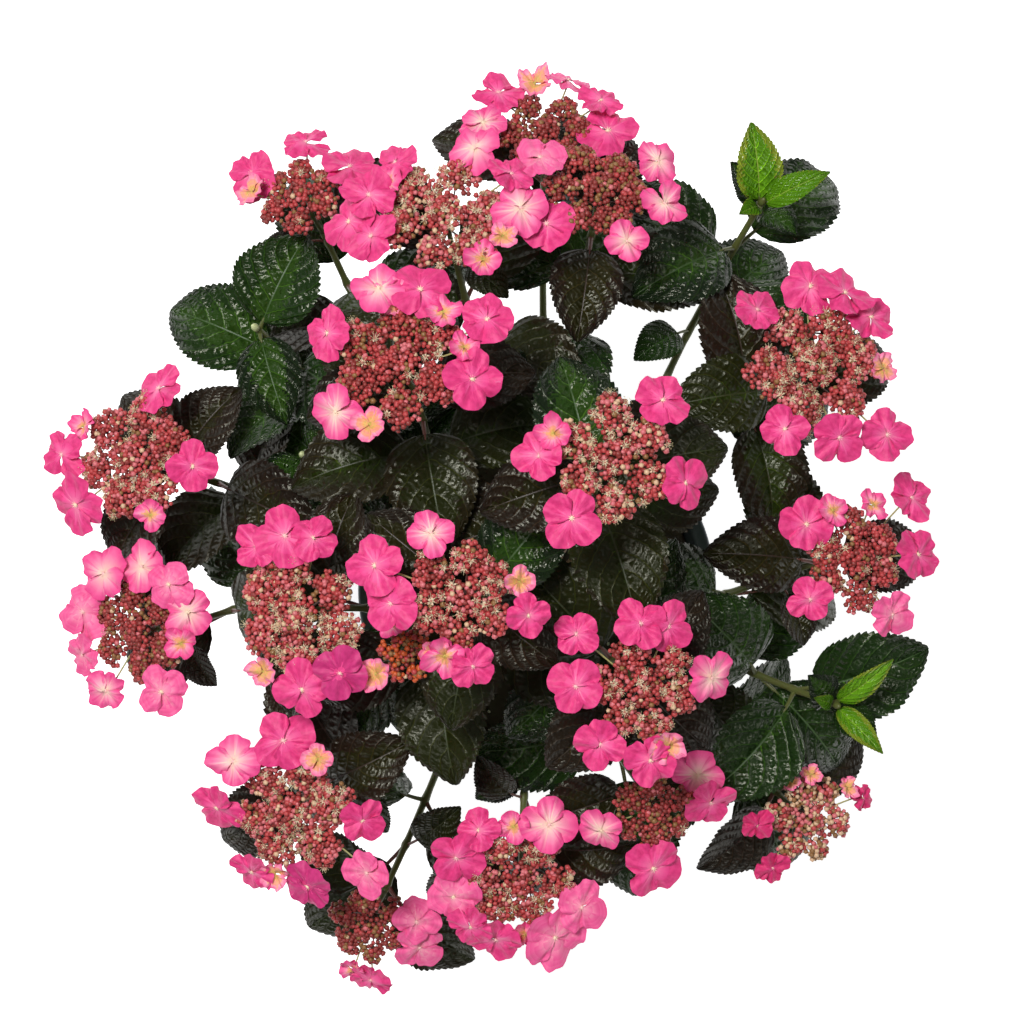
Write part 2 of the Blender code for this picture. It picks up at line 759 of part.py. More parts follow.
def make_mass(limb, collection, cutters, material):
    """The node of a shoot or flower head."""
    stem = make_object(f"{limb.name}_stem", limb.mesh, bpy.context.scene.collection)
    if limb.carrier_path:
        wide = limb_mesh(f"{limb.name}_cutter", limb.carrier_path, CANE_FOOT_RADIUS + GAP,
                         CANE_TIP_RADIUS + GAP, CANE_SIDES)
        cut_clear(stem, make_cutter(f"{limb.name}_cutter", wide, cutters))
    fuse(limb.name, stem, limb.grown, collection, material)


def main():
    """Build the plant and its pot."""
    for thing in list(bpy.data.objects):
        bpy.data.objects.remove(thing)
    plant = bpy.data.collections.new("hydrangea")
    cutters = bpy.data.collections.new("cutters")
    drains = bpy.data.collections.new("drains")
    for collection in (plant, cutters, drains):
        bpy.context.scene.collection.children.link(collection)

    plastic = make_material("pot plastic", (0.035, 0.055, 0.068), 0.42)
    compost = make_material("compost", (0.030, 0.020, 0.013), 0.95)
    bark = make_material("bark", (0.20, 0.13, 0.075), 0.85)
    foliage = make_material("foliage", (0.035, 0.055, 0.030), 0.40)
    blossom = make_material("blossom", (0.80, 0.12, 0.27), 0.55)

    space = Space()
    canes, shoots = grow_limbs(space)
    heads = grow_heads(shoots, space)
    grow_leaves(shoots, space)
    for shoot in shoots:
        make_mass(shoot, plant, cutters, foliage)
    for head in heads:
        make_mass(head, plant, cutters, blossom)

    make_pot(plant, drains, plastic)
    make_soil(plant, compost)
    turned_object("stock", stock_profile(0.0), STOCK_SIDES, plant, bark)
    stock_cutter = turned_object("stock_cutter", stock_profile(GAP), STOCK_SIDES, cutters)
    stock_cutter.hide_render = True
    stock_cutter.display_type = "WIRE"
    for cane in canes:
        cut_clear(make_object(cane.name, cane.mesh, plant, bark), stock_cutter)


main()
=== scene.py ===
"""The looks of a lacecap hydrangea in its nursery pot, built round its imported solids.

Metres, +Z up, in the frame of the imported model.  The canes, leafy shoots and flower heads grow by
the same plan and rule as the solids do, and are carried on to toothed leaves, single sepals,
flower buds and stamens.  A leaf or an open ray floret lies where its own solid does; the youngest
florets, and some of the leaves at leafy tips, have places of their own.
"""

import itertools
import logging
import math
import random
from collections.abc import Iterator, Sequence
from dataclasses import dataclass, field, replace
from enum import Enum, IntEnum

import bpy
import numpy as np
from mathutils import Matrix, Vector
from mathutils.bvhtree import BVHTree


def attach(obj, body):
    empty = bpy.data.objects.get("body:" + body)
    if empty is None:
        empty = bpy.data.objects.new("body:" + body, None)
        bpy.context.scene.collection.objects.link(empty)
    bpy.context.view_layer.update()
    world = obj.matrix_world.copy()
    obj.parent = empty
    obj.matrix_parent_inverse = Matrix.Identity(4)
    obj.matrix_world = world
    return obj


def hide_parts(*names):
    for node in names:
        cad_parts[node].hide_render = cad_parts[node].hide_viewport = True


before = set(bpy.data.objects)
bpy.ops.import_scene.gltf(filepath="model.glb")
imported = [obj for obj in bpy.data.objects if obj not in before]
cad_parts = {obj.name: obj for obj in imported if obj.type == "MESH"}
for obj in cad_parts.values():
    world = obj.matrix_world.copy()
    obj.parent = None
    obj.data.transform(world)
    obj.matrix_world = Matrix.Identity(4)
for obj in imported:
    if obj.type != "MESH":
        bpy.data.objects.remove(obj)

LOG = logging.getLogger("hydrangea")

MM = 0.001
UP = np.array((0.0, 0.0, 1.0))
GAP = 0.0003  # between a limb and what it grows from
ROOT_BODY = "root"
CHART = "blade"
FULL_TURN = 2 * math.pi
GOLDEN_ANGLE = math.pi * (3 - math.sqrt(5))

Array = np.ndarray
Colour = tuple[float, float, float]
Place = tuple[float, float, float]
TipLeaf = tuple[float, float, float, float]  # length, bearing, rise and slimness


# -------- the plant's plan
@dataclass(frozen=True)
class ShootPlan:
    """A leafy shoot.  Lengths are millimetres, bearings are degrees anticlockwise from +X."""

    top: Place
    turn: float
    disc: float = 0.0
    rays: tuple[float, ...] = ()
    far: tuple[float, ...] = ()
    young: tuple[float, ...] = ()
    pairs: int = 3
    leaf: float = 80.0
    small: tuple[int, ...] = ()  # leaves that stayed small, counted two to a pair
    fresh: tuple[TipLeaf, ...] = ()  # young leaves at a leafy tip
    broad: tuple[TipLeaf, ...] = ()  # grown leaves there


@dataclass(frozen=True)
class CanePlan:
    """A woody cane: the bearing and height at which it leaves the stock, and its shoots."""

    bearing: float
    rise: float
    slope: float
    shoots: tuple[ShootPlan, ...]


PLAN = (
    CanePlan(122, 15, 45, (
        ShootPlan((-158, 265, 400), 25, 24, (25, 90, 150), young=(172,), small=(1,)),
        ShootPlan((-188, 178, 380), 150, leaf=84,
                  broad=((68, 63, 30, 1.25), (62, -72, 24, 0.95))))),
    CanePlan(88, 15, 45, (
        ShootPlan((-61, 246, 460), 140, 35, (-160, 0, 30, 70, 130, 165), (180,),
                  young=(-55, -30, 148), small=(1,)),)),
    CanePlan(54, 15, 45, (
        ShootPlan((38, 263, 450), 76, 29, (-140, -70, -20, 30, 150)),
        ShootPlan((4, 308, 400), 160, 27, (-5, 30, 70, 135, 180), young=(100,), pairs=2,
                  small=(2,)))),
    CanePlan(20, 15, 45, (
        ShootPlan((175, 150, 460), 10, 37, (-120, -80, 40, 65, 90, 140), (-45,), young=(0,)),
        ShootPlan((146, 259, 400), 40, small=(6,),
                  fresh=((54, 102, 60, 0.80), (50, 20, 62, 0.52), (26, 215, 72, 0.7))))),
    CanePlan(-16, 15, 42, (
        ShootPlan((205, 25, 430), 0, 29, (-145, -55, 5, 150), (45,), young=(72, 122),
                  small=(3,)),
        ShootPlan((195, -71, 400), 45,
                  fresh=((52, 46, 62, 0.44), (44, -48, 60, 0.50), (24, 160, 74, 0.6))))),
    CanePlan(-52, 15, 42, (
        ShootPlan((182, -152, 360), 35, 26, (-130, 20, 175), young=(45, 95, 120)),
        ShootPlan((75, -140, 420), 10, 23, (-165, -90, 10, 40)))),
    CanePlan(-88, 15, 42, (
        ShootPlan((-13, -186, 400), 30, 31, (-165, -135, -110, -60, -25, 65, 125, 155),
                  young=(-85, 95), small=(2, 4)),)),
    CanePlan(-124, 15, 42, (
        ShootPlan((-162, -140, 420), 25, 36, (-180, -125, -80, 0, 90, 135), (-35,),
                  young=(-108, 60), small=(3,)),
        ShootPlan((-116, -226, 350), -45, 24, (-90, -15, 20), young=(-110,), small=(2,)))),
    CanePlan(194, 15, 42, (
        ShootPlan((-155, -8, 460), 70, 35, (-85, -50, 75, 98, 122), young=(-120,)),
        ShootPlan((-84, -35, 470), 10, 15, young=(-150, 115), pairs=2))),
    CanePlan(158, 15, 42, (
        ShootPlan((-268, -24, 380), 115, 30, (-160, -120, -60, 18, 45, 80, 120, 165),
                  young=(-8,), small=(1,)),
        ShootPlan((-266, 91, 420), 50, 35, (-145, -10, 65, 175), young=(-60, 150)))),
    CanePlan(150, 22, 58, (
        ShootPlan((-89, 148, 500), 10, 35, (-140, -15, 75, 105, 155), (25,),
                  young=(-110, 10, 50, 95)),
        ShootPlan((-158, 94, 360), 130, leaf=84))),
    CanePlan(60, 22, 58, (
        ShootPlan((44, 89, 540), 15, 32, (-125, -20, 50, 180), young=(160,)),)),
    CanePlan(-40, 22, 58, (
        ShootPlan((64, -55, 500), 45, 29, (-130, -85, 10, 70, 95, 175), (140,), young=(-68,)),)),
    CanePlan(180, 40, 86, (
        ShootPlan((-49, 4, 530), -40, 29, (-175, -80, -15, 115), (160,),
                  young=(-115, 15, -105)),)),
)


# -------- directions and paths
def unit(vector: Array) -> Array:
    """The direction of a vector, or of each of an array of them."""
    return vector / np.linalg.norm(vector, axis=-1, keepdims=True)


def bearing_vector(degrees: float) -> Array:
    """The level direction at a bearing."""
    return np.array((math.cos(math.radians(degrees)), math.sin(math.radians(degrees)), 0.0))


def square_to(axis: Array, degrees: float) -> Array:
    """The direction at a bearing, turned square to an axis."""
    level = bearing_vector(degrees)
    return unit(level - axis * level.dot(axis))


def turns(count: int) -> Array:
    """Angles spaced evenly round a full turn, in radians."""
    return np.arange(count) * FULL_TURN / count


def around(reach: Array, angle: Array, height: Array | float) -> Array:
    """Points at distances and angles round +Z, each at its height."""
    parts = np.broadcast_arrays(reach * np.cos(angle), reach * np.sin(angle), height)
    return np.stack(parts, axis=-1)


def turn_about_up(angle: float) -> Array:
    """The turn about +Z by an angle in radians."""
    cosine, sine = math.cos(angle), math.sin(angle)
    return np.array(((cosine, -sine, 0.0), (sine, cosine, 0.0), (0.0, 0.0, 1.0)))


def facing_frame(facing: Array) -> Array:
    """The turn that brings +Z to a direction."""
    return np.array(Vector(facing).to_track_quat("Z", "Y").to_matrix())


def spread_frames(ways: Array, spins: Array) -> Array:
    """Frames whose third column is each direction.

    Args:
        ways: Unit directions, one a row.
        spins: How far each frame is turned about its direction, in radians.

    Returns:
        An array of frames, with their axes as columns.
    """
    helper = np.where(np.abs(ways[:, 2:3]) > 0.9, np.array((1.0, 0.0, 0.0)), UP)
    side = unit(np.cross(helper, ways))
    other = np.cross(ways, side)
    first = side * np.cos(spins)[:, None] + other * np.sin(spins)[:, None]
    return np.stack((first, np.cross(ways, first), ways), axis=2)


def rounded(path: Array, rounds: int = 2) -> Array:
    """A path with its corners cut.

    Args:
        path: Points, one a row.
        rounds: How many times each corner is cut.

    Returns:
        A smoother path with the same ends.
    """
    for _ in range(rounds):
        near = path[:-1] * 0.75 + path[1:] * 0.25
        far = path[:-1] * 0.25 + path[1:] * 0.75
        inner = np.stack((near, far), axis=1).reshape(-1, 3)
        path = np.vstack((path[:1], inner, path[-1:]))
    return path


def resampled(path: Array, count: int) -> Array:
    """The same path with evenly spaced points.

    Args:
        path: Points, one a row.
        count: How many points the new path has.

    Returns:
        The new path.
    """
    steps = np.linalg.norm(np.diff(path, axis=0), axis=1)
    travelled = np.concatenate(((0.0,), np.cumsum(steps)))
    wanted = np.linspace(0.0, travelled[-1], count)
    return np.stack([np.interp(wanted, travelled, path[:, k]) for k in range(3)], axis=1)


# -------- shapes
@dataclass
class Shape:
    """Points, faces of three or four corners (-1 for no fourth), and each face's finish.

    The chart is where each point lies on its own blade, across and along from 0 to 1.
    """

    points: Array
    faces: Array
    tones: Array
    chart: Array | None = None

    @staticmethod
    def joined(shapes: Sequence["Shape"]) -> "Shape":
        """Several shapes as one.

        Args:
            shapes: The shapes, in order.

        Returns:
            One shape that holds them all.
        """
        starts = np.cumsum([0] + [len(shape.points) for shape in shapes])
        faces = [np.where(shape.faces < 0, -1, shape.faces + start)
                 for shape, start in zip(shapes, starts)]
        charts = [np.zeros((len(shape.points), 2)) if shape.chart is None else shape.chart
                  for shape in shapes]
        return Shape(np.vstack([shape.points for shape in shapes]), np.vstack(faces),
                     np.concatenate([shape.tones for shape in shapes]), np.vstack(charts))

    def scattered(self, places: Array, frames: Array, sizes: Array, tones: Array | None = None
                  ) -> "Shape":
        """Many copies of this shape.

        Args:
            places: Where each copy's origin goes.
            frames: Each copy's turn.
            sizes: Each copy's scale, as a number or as three.
            tones: A finish for each whole copy, or None to keep this shape's own.

        Returns:
            One shape that holds every copy.
        """
        count = len(places)
        scales = sizes.reshape(count, 1, -1)
        points = np.einsum("nij,nkj->nki", frames, self.points[None] * scales) + places[:, None]
        starts = (np.arange(count) * len(self.points))[:, None, None]
        faces = np.where(self.faces[None] < 0, -1, self.faces[None] + starts)
        own = np.tile(self.tones, count)
        dealt = own if tones is None else np.repeat(tones, len(self.faces))
        return Shape(points.reshape(-1, 3), faces.reshape(-1, 4), dealt)

    @staticmethod
    def two_faced(top: Array, back: Array, charts: tuple[Array, Array], tones: Array,
                  back_tone: int) -> "Shape":
        """A thin sheet from two grids of points.

        Args:
            top: The upper face's points, by row and column.
            back: The lower face's, likewise.
            charts: Where the points of each lie on their blade.
            tones: The finish of each upper face, by row and column.
            back_tone: The finish of the lower faces.

        Returns:
            The sheet.
        """
        lower = grid_faces(*back.shape[:2], top.shape[0] * top.shape[1], flip=True)
        return Shape(np.vstack((top.reshape(-1, 3), back.reshape(-1, 3))),
                     np.vstack((grid_faces(*top.shape[:2]), lower)),
                     np.concatenate((tones.ravel(), np.full(len(lower), back_tone))),
                     np.vstack([chart.reshape(-1, 2) for chart in charts]))

    def moved(self, place: Array, frame_here: Array) -> "Shape":
        """This shape turned into a frame and moved to a place."""
        return replace(self, points=place + self.points @ frame_here.T)

    def build(self, name: str, finishes: Sequence["Finish"]) -> bpy.types.Object:
        """Make an object of this shape.

        Args:
            name: The object's name.
            finishes: What the faces' finish numbers count through.

        Returns:
            The new object, linked into the scene.
        """
        mesh = bpy.data.meshes.new(name)
        real = self.faces >= 0
        corners = self.faces[real].astype(np.int32)
        sizes = real.sum(axis=1)
        starts = (np.cumsum(sizes) - sizes).astype(np.int32)
        mesh.vertices.add(len(self.points))
        mesh.vertices.foreach_set("co", self.points.astype(np.float32).ravel())
        mesh.loops.add(len(corners))
        mesh.loops.foreach_set("vertex_index", corners)
        mesh.polygons.add(len(self.faces))
        mesh.polygons.foreach_set("loop_start", starts)
        mesh.polygons.foreach_set("material_index", self.tones.astype(np.int32))
        mesh.polygons.foreach_set("use_smooth", np.ones(len(self.faces), bool))
        if self.chart is not None and self.chart.any():
            layer = mesh.uv_layers.new(name=CHART)
            layer.data.foreach_set("uv", self.chart[corners].astype(np.float32).ravel())
        mesh.update(calc_edges=True)
        for finish in finishes:
            mesh.materials.append(finish.material())
        piece = bpy.data.objects.new(name, mesh)
        bpy.context.scene.collection.objects.link(piece)
        return piece


def grid_faces(rows: int, columns: int, first: int = 0, flip: bool = False,
               closed: bool = False) -> Array:
    """The faces of a grid of points, row by row.

    Args:
        rows: How many rows of points there are.
        columns: How many points a row has.
        first: The number of the grid's first point.
        flip: Whether the faces look the other way.
        closed: Whether the last column joins the first.

    Returns:
        Faces of four corners.
    """
    across = columns if closed else columns - 1
    row, column = np.meshgrid(np.arange(rows - 1), np.arange(across), indexing="ij")
    after = (column + 1) % columns
    corners = (row * columns + column, row * columns + after,
               (row + 1) * columns + after, (row + 1) * columns + column)
    faces = np.stack([corner.ravel() for corner in corners], axis=1) + first
    return faces[:, ::-1] if flip else faces


def tube(path: Array, radii: Array, sides: int, tone: int = 0,
         relief: Array | None = None) -> Shape:
    """A round limb along a path, closed at both ends.

    Args:
        path: Points along its middle.
        radii: Its radius at each of them.
        sides: How many sides it has.
        tone: Its finish.
        relief: What is added to the radius, a row for each point and a column for each side.

    Returns:
        The limb.
    """
    ways = unit(np.gradient(path, axis=0))
    first = unit(np.cross(ways[0], np.array((0.31, 0.95, 0.12))))
    sideways = []
    for way in ways:
        first = unit(first - way * first.dot(way))
        sideways.append(first)
    side = np.array(sideways)
    other = np.cross(ways, side)
    angles = turns(sides)
    reach = radii[:, None] + (0.0 if relief is None else relief)
    ring = (side[:, None] * np.cos(angles)[None, :, None]
            + other[:, None] * np.sin(angles)[None, :, None])
    points = path[:, None] + ring * reach[..., None]
    count = len(path)
    ends = np.vstack((path[0], path[-1]))
    hub, last = count * sides, (count - 1) * sides
    here = np.arange(sides)
    after, hubs, none = (here + 1) % sides, np.full(sides, hub), np.full(sides, -1)
    faces = np.vstack((grid_faces(count, sides, closed=True),
                       np.stack((after, here, hubs, none), axis=1),
                       np.stack((last + here, last + after, hubs + 1, none), axis=1)))
    return Shape(np.vstack((points.reshape(-1, 3), ends)), faces, np.full(len(faces), tone))


def spindle(profile: Sequence[tuple[float, float]], sides: int, tone: int = 0) -> Shape:
    """A small turned body along +Z.

    Args:
        profile: Radius and height of each ring, from the foot up; the ends are points.
        sides: How many sides it has.
        tone: Its finish.

    Returns:
        The body.
    """
    path = np.array([(0.0, 0.0, height) for _, height in profile])
    shape = tube(path[1:-1], np.array([radius for radius, _ in profile[1:-1]]), sides, tone)
    shape.points[-2] = path[0]
    shape.points[-1] = path[-1]
    return shape


def spoke(points: Array, turn: float, faces: Sequence[Sequence[int]], tone: int) -> Shape:
    """A few faces of one finish, turned about +Z."""
    return Shape(points @ turn_about_up(turn).T, np.array(faces), np.full(len(faces), tone))


def twigs(starts: Array, ends: Array, foot: Array, tip: Array, tones: Array) -> Shape:
    """Many straight three-sided stalks, whose ends lie inside what they join.

    Args:
        starts: Where each starts.
        ends: Where each ends.
        foot: Each one's radius at its start.
        tip: Each one's radius at its end.
        tones: Each one's finish.

    Returns:
        One shape that holds them all.
    """
    along = ends - starts
    frames = spread_frames(unit(along), np.zeros(len(along)))
    angles = turns(3)
    ring = (frames[:, None, :, 0] * np.cos(angles)[None, :, None]
            + frames[:, None, :, 1] * np.sin(angles)[None, :, None])
    low = starts[:, None] + ring * foot[:, None, None]
    high = ends[:, None] + ring * tip[:, None, None]
    points = np.concatenate((low, high), axis=1)
    one = np.array(((0, 1, 4, 3), (1, 2, 5, 4), (2, 0, 3, 5)))
    faces = one[None] + (np.arange(len(along)) * 6)[:, None, None]
    return Shape(points.reshape(-1, 3), faces.reshape(-1, 4), np.repeat(tones, len(one)))


# -------- shader maths
class Value:
    """A number that varies over a surface, with arithmetic that adds Math nodes."""

    def __init__(self, nodes: "Nodes", socket: bpy.types.NodeSocket) -> None:
        """Wrap a socket of a node tree."""
        self.nodes = nodes
        self.socket = socket

    def maths(self, operation: str, first: "Operand", second: "Operand") -> "Value":
        """The result of one Math node: its operation on two values."""
        node = self.nodes.add("ShaderNodeMath", {"operation": operation}, {0: first, 1: second})
        return Value(self.nodes, node.outputs[0])

    def __add__(self, other: "Operand") -> "Value":
        """This plus another."""
        return self.maths("ADD", self, other)

    def __radd__(self, other: "Operand") -> "Value":
        """Another plus this."""
        return self.maths("ADD", other, self)

    def __sub__(self, other: "Operand") -> "Value":
        """This less another."""
        return self.maths("SUBTRACT", self, other)

    def __rsub__(self, other: "Operand") -> "Value":
        """Another less this."""
        return self.maths("SUBTRACT", other, self)

    def __mul__(self, other: "Operand") -> "Value":
        """This times another."""
        return self.maths("MULTIPLY", self, other)

    def __rmul__(self, other: "Operand") -> "Value":
        """Another times this."""
        return self.maths("MULTIPLY", other, self)

    def __pow__(self, other: "Operand") -> "Value":
        """This to a power."""
        return self.maths("POWER", self, other)

    def __abs__(self) -> "Value":
        """This without its sign."""
        return self.maths("ABSOLUTE", self, 0.0)

    def floor(self) -> "Value":
        """The whole number below this."""
        return self.maths("FLOOR", self, 0.0)

    def sine(self) -> "Value":
        """The sine of this."""
        return self.maths("SINE", self, 0.0)


Operand = Value | float
Input = Value | bpy.types.NodeSocket | float | Sequence[float]


class Nodes:
    """The node tree of one material."""

    def __init__(self, name: str) -> None:
        """Start a material with an empty tree.

        Args:
            name: The material's name.
        """
        self.material = bpy.data.materials.new(name)
        self.material.use_nodes = True
        self.tree = self.material.node_tree
        self.tree.nodes.clear()

    def add(self, kind: str, settings: dict[str, object], inputs: dict[str | int, Input]
            ) -> bpy.types.Node:
        """Add a node.

        Args:
            kind: Its type.
            settings: Its own settings, which are set first.
            inputs: What goes into its sockets, by name or number.

        Returns:
            The node.
        """
        node = self.tree.nodes.new(kind)
        for name, value in settings.items():
            setattr(node, name, value)
        for key, value in inputs.items():
            socket = node.inputs[key]
            if isinstance(value, Value):
                self.tree.links.new(value.socket, socket)
            elif isinstance(value, bpy.types.NodeSocket):
                self.tree.links.new(value, socket)
            else:
                socket.default_value = value
        return node

    def place(self, stretch: Colour = (1.0, 1.0, 1.0)) -> bpy.types.NodeSocket:
        """Where a point is on the plant, with each axis stretched."""
        where = self.add("ShaderNodeTexCoord", {}, {}).outputs["Object"]
        return self.add("ShaderNodeMapping", {}, {"Vector": where, "Scale": stretch}).outputs[0]

    def chart(self) -> tuple[Value, Value]:
        """Where a point lies on its blade: how far across and how far along."""
        chart = self.add("ShaderNodeUVMap", {"uv_map": CHART}, {})
        parts = self.add("ShaderNodeSeparateXYZ", {}, {0: chart.outputs[0]})
        return Value(self, parts.outputs[0]), Value(self, parts.outputs[1])

    def noise(self, where: bpy.types.NodeSocket, scale: float, detail: float = 3.0) -> Value:
        """Cloudy noise from 0 to 1."""
        node = self.add("ShaderNodeTexNoise", {},
                        {"Vector": where, "Scale": scale, "Detail": detail})
        return Value(self, node.outputs[0])

    def cells(self, where: bpy.types.NodeSocket, scale: float) -> Value:
        """The distance to the nearest of many scattered points."""
        node = self.add("ShaderNodeTexVoronoi", {}, {"Vector": where, "Scale": scale})
        return Value(self, node.outputs["Distance"])

    def mix(self, share: Value, low: Input, high: Input) -> bpy.types.NodeSocket:
        """A colour between two."""
        node = self.add("ShaderNodeMix", {"data_type": "RGBA"}, {0: share, 6: low, 7: high})
        return node.outputs[2]

    def bump(self, height: Value, depth: float) -> bpy.types.NodeSocket:
        """The normal of a surface raised by a height from 0 to 1, times a depth in metres."""
        node = self.add("ShaderNodeBump", {}, {"Height": height, "Distance": depth})
        return node.outputs["Normal"]

    def finish(self, inputs: dict[str | int, Input]) -> bpy.types.Material:
        """End the tree in a Principled shader with these inputs."""
        shader = self.add("ShaderNodeBsdfPrincipled", {}, inputs)
        self.add("ShaderNodeOutputMaterial", {}, {"Surface": shader.outputs[0]})
        return self.material


def paint(red: float, green: float, blue: float) -> tuple[float, float, float, float]:
    """A display colour, each part from 0 to 255, as the linear colour that a shader takes."""
    parts = np.array((red, green, blue)) / 255
    linear = np.where(parts > 0.04045, ((parts + 0.055) / 1.055) ** 2.4, parts / 12.92)
    return (*linear.tolist(), 1.0)


# -------- finishes
@dataclass(frozen=True)
class Finish:
    """A surface of one colour that drifts a little towards another."""

    name: str
    colour: Colour
    drift: Colour
    roughness: float = 0.5
    grain: float = 220.0  # clouds of colour to the metre
    relief: float = 0.0002  # depth of the fine grain, in metres
    relief_grain: float = 900.0
    sheen: float = 0.0
    glow: float = 0.0

    def material(self) -> bpy.types.Material:
        """The Blender material, made once."""
        made = bpy.data.materials.get(self.name)
        return made if made else self.make(Nodes(self.name))

    def make(self, nodes: Nodes) -> bpy.types.Material:
        """Fill a node tree with this finish.

        Args:
            nodes: The tree.

        Returns:
            Its material.
        """
        where = nodes.place()
        clouds = nodes.noise(where, self.grain)
        fine = nodes.noise(where, self.relief_grain, 2.0)
        return nodes.finish({
            "Base Color": nodes.mix(clouds, paint(*self.colour), paint(*self.drift)),
            "Roughness": self.roughness + (fine - 0.5) * 0.2,
            "Sheen Weight": self.sheen,
            "Emission Strength": self.glow,
            "Normal": nodes.bump(fine, self.relief),
        })


@dataclass(frozen=True)
class Veins:
    """Where the side veins of a blade run, for its form and for its finish alike."""

    pairs: float = 6.8
    slant: float = 0.38
    start: float = 0.20
    rungs_out: float = 4.8  # small cross veins, counted out from the midrib
    rungs_along: float = 15.0  # and along it

    def phase(self, out: "Array | Value", along: "Array | Value") -> "Array | Value":
        """A count that passes a whole number at each side vein."""
        return (along - self.slant * out ** 1.3 + self.start) * self.pairs

    def rungs(self, out: "Array | Value", along: "Array | Value") -> "Array | Value":
        """A count that passes a whole number at each small cross vein."""
        return out * self.rungs_out + along * self.rungs_along


@dataclass(frozen=True)
class LeafFinish(Finish):
    """A glossy puckered blade: puffed cells between side veins and small cross veins."""

    roughness: float = 0.30
    grain: float = 60.0
    relief: float = 0.0011
    relief_grain: float = 700.0
    veins: Veins = Veins()
    vein_gain: float = 1.6  # how light a side vein is, times the blade
    crease_shade_gain: float = 0.80  # painted shade: how light a crease is painted, times the blade
    stray_grain: float = 150.0
    vein_stray: float = 0.40  # how far a side vein wanders, as a share of their spacing
    rung_stray: float = 2.4  # and a cross vein
    rung_depth: float = 0.32  # as a share of a side vein's
    gloss: float = 0.33
    gloss_tint: tuple[float, float, float, float] = (1.0, 0.99, 0.84, 1.0)

    def make(self, nodes: Nodes) -> bpy.types.Material:
        """Fill a node tree with this finish.

        Args:
            nodes: The tree.

        Returns:
            Its material.
        """
        across, along = nodes.chart()
        out = abs(across * 2.0 - 1.0)
        where = nodes.place()
        fine = nodes.noise(where, self.relief_grain, 2.0)
        clouds = nodes.noise(where, self.grain)
        stray = nodes.noise(where, self.stray_grain, 2.0) - 0.5
        phase = self.veins.phase(out, along) + stray * self.vein_stray
        cell = abs((phase * math.pi).sine()) ** 0.8
        rungs = self.veins.rungs(out, along) + phase.floor() * 0.5 + stray * self.rung_stray
        rung = abs((rungs * math.pi).sine()) ** 1.4
        puff = cell * (rung * self.rung_depth + (1.0 - self.rung_depth)) + fine * 0.2
        blade = nodes.mix(clouds, paint(*self.colour), paint(*self.drift))
        # painted shade: the creases between the puffed cells are coloured darker than the blade
        painted_crease_shade = paint(*(part * self.crease_shade_gain for part in self.colour))
        vein = paint(*(part * self.vein_gain for part in self.drift))
        return nodes.finish({
            # The base colour: light side veins, over the blade with the painted shade of its
            # creases.
            "Base Color": nodes.mix(cell * 5.0 - 0.3, vein, nodes.mix(puff * 1.8, painted_crease_shade, blade)),
            "Roughness": self.roughness + (1.0 - puff) * 0.15,
            "Specular IOR Level": self.gloss,
            "Specular Tint": self.gloss_tint,
            "Normal": nodes.bump(puff, self.relief),
        })


@dataclass(frozen=True)
class PetalFinish(Finish):
    """A soft sepal, streaked from its heart to its rim, its colour drifting over each band."""

    streaks: float = 11.0
    bands: float = 6.0  # none for a tone that stays the same over several bands
    start: float = 0.0
    streaking: float = 0.6

    def make(self, nodes: Nodes) -> bpy.types.Material:
        """Fill a node tree with this finish.

        Args:
            nodes: The tree.

        Returns:
            Its material.
        """
        across, along = nodes.chart()
        where = nodes.add("ShaderNodeCombineXYZ", {}, {0: across * self.streaks, 1: along * 4.0})
        streak = nodes.noise(where.outputs[0], 1.0, 3.0)
        fine = nodes.noise(nodes.place(), self.relief_grain, 2.0)
        band = along * self.bands
        share = band - band.floor() + (streak - 0.5) * self.streaking + self.start
        return nodes.finish({
            "Base Color": nodes.mix(share, paint(*self.colour), paint(*self.drift)),
            "Roughness": self.roughness + (fine - 0.5) * 0.2,
            "Sheen Weight": self.sheen,
            "Normal": nodes.bump(streak * 0.8 + fine * 0.2, self.relief),
        })


@dataclass(frozen=True)
class BarkFinish(Finish):
    """Papery bark that splits in long flakes."""

    stretch: Colour = (1.0, 1.0, 0.16)

    def make(self, nodes: Nodes) -> bpy.types.Material:
        """Fill a node tree with this finish.

        Args:
            nodes: The tree.

        Returns:
            Its material.
        """
        along = nodes.place(self.stretch)
        flakes = nodes.cells(along, self.grain)
        fine = nodes.noise(along, self.relief_grain)
        share = (flakes * 0.9 + fine * 0.7) ** 1.6
        return nodes.finish({
            "Base Color": nodes.mix(share, paint(*self.colour), paint(*self.drift)),
            "Roughness": self.roughness + (fine - 0.5) * 0.2,
            "Normal": nodes.bump(flakes * 0.6 + fine * 0.4, self.relief),
        })


@dataclass(frozen=True)
class PlasticFinish(Finish):
    """Moulded plastic with a fine spark-eroded grain and some dust."""

    def make(self, nodes: Nodes) -> bpy.types.Material:
        """Fill a node tree with this finish.

        Args:
            nodes: The tree.

        Returns:
            Its material.
        """
        where = nodes.place()
        dust = nodes.noise(where, self.grain, 6.0) ** 3.0
        grain = nodes.noise(where, self.relief_grain, 1.0)
        return nodes.finish({
            "Base Color": nodes.mix(dust, paint(*self.colour), paint(*self.drift)),
            "Roughness": self.roughness + dust * 0.5,
            "Normal": nodes.bump(grain, self.relief),
        })


# -------- growth
STRAIGHT_RUN = 0.005  # at each end of a limb
BEND_HANDLE = 0.36  # the reach of a bend's handles, as a share of its chord


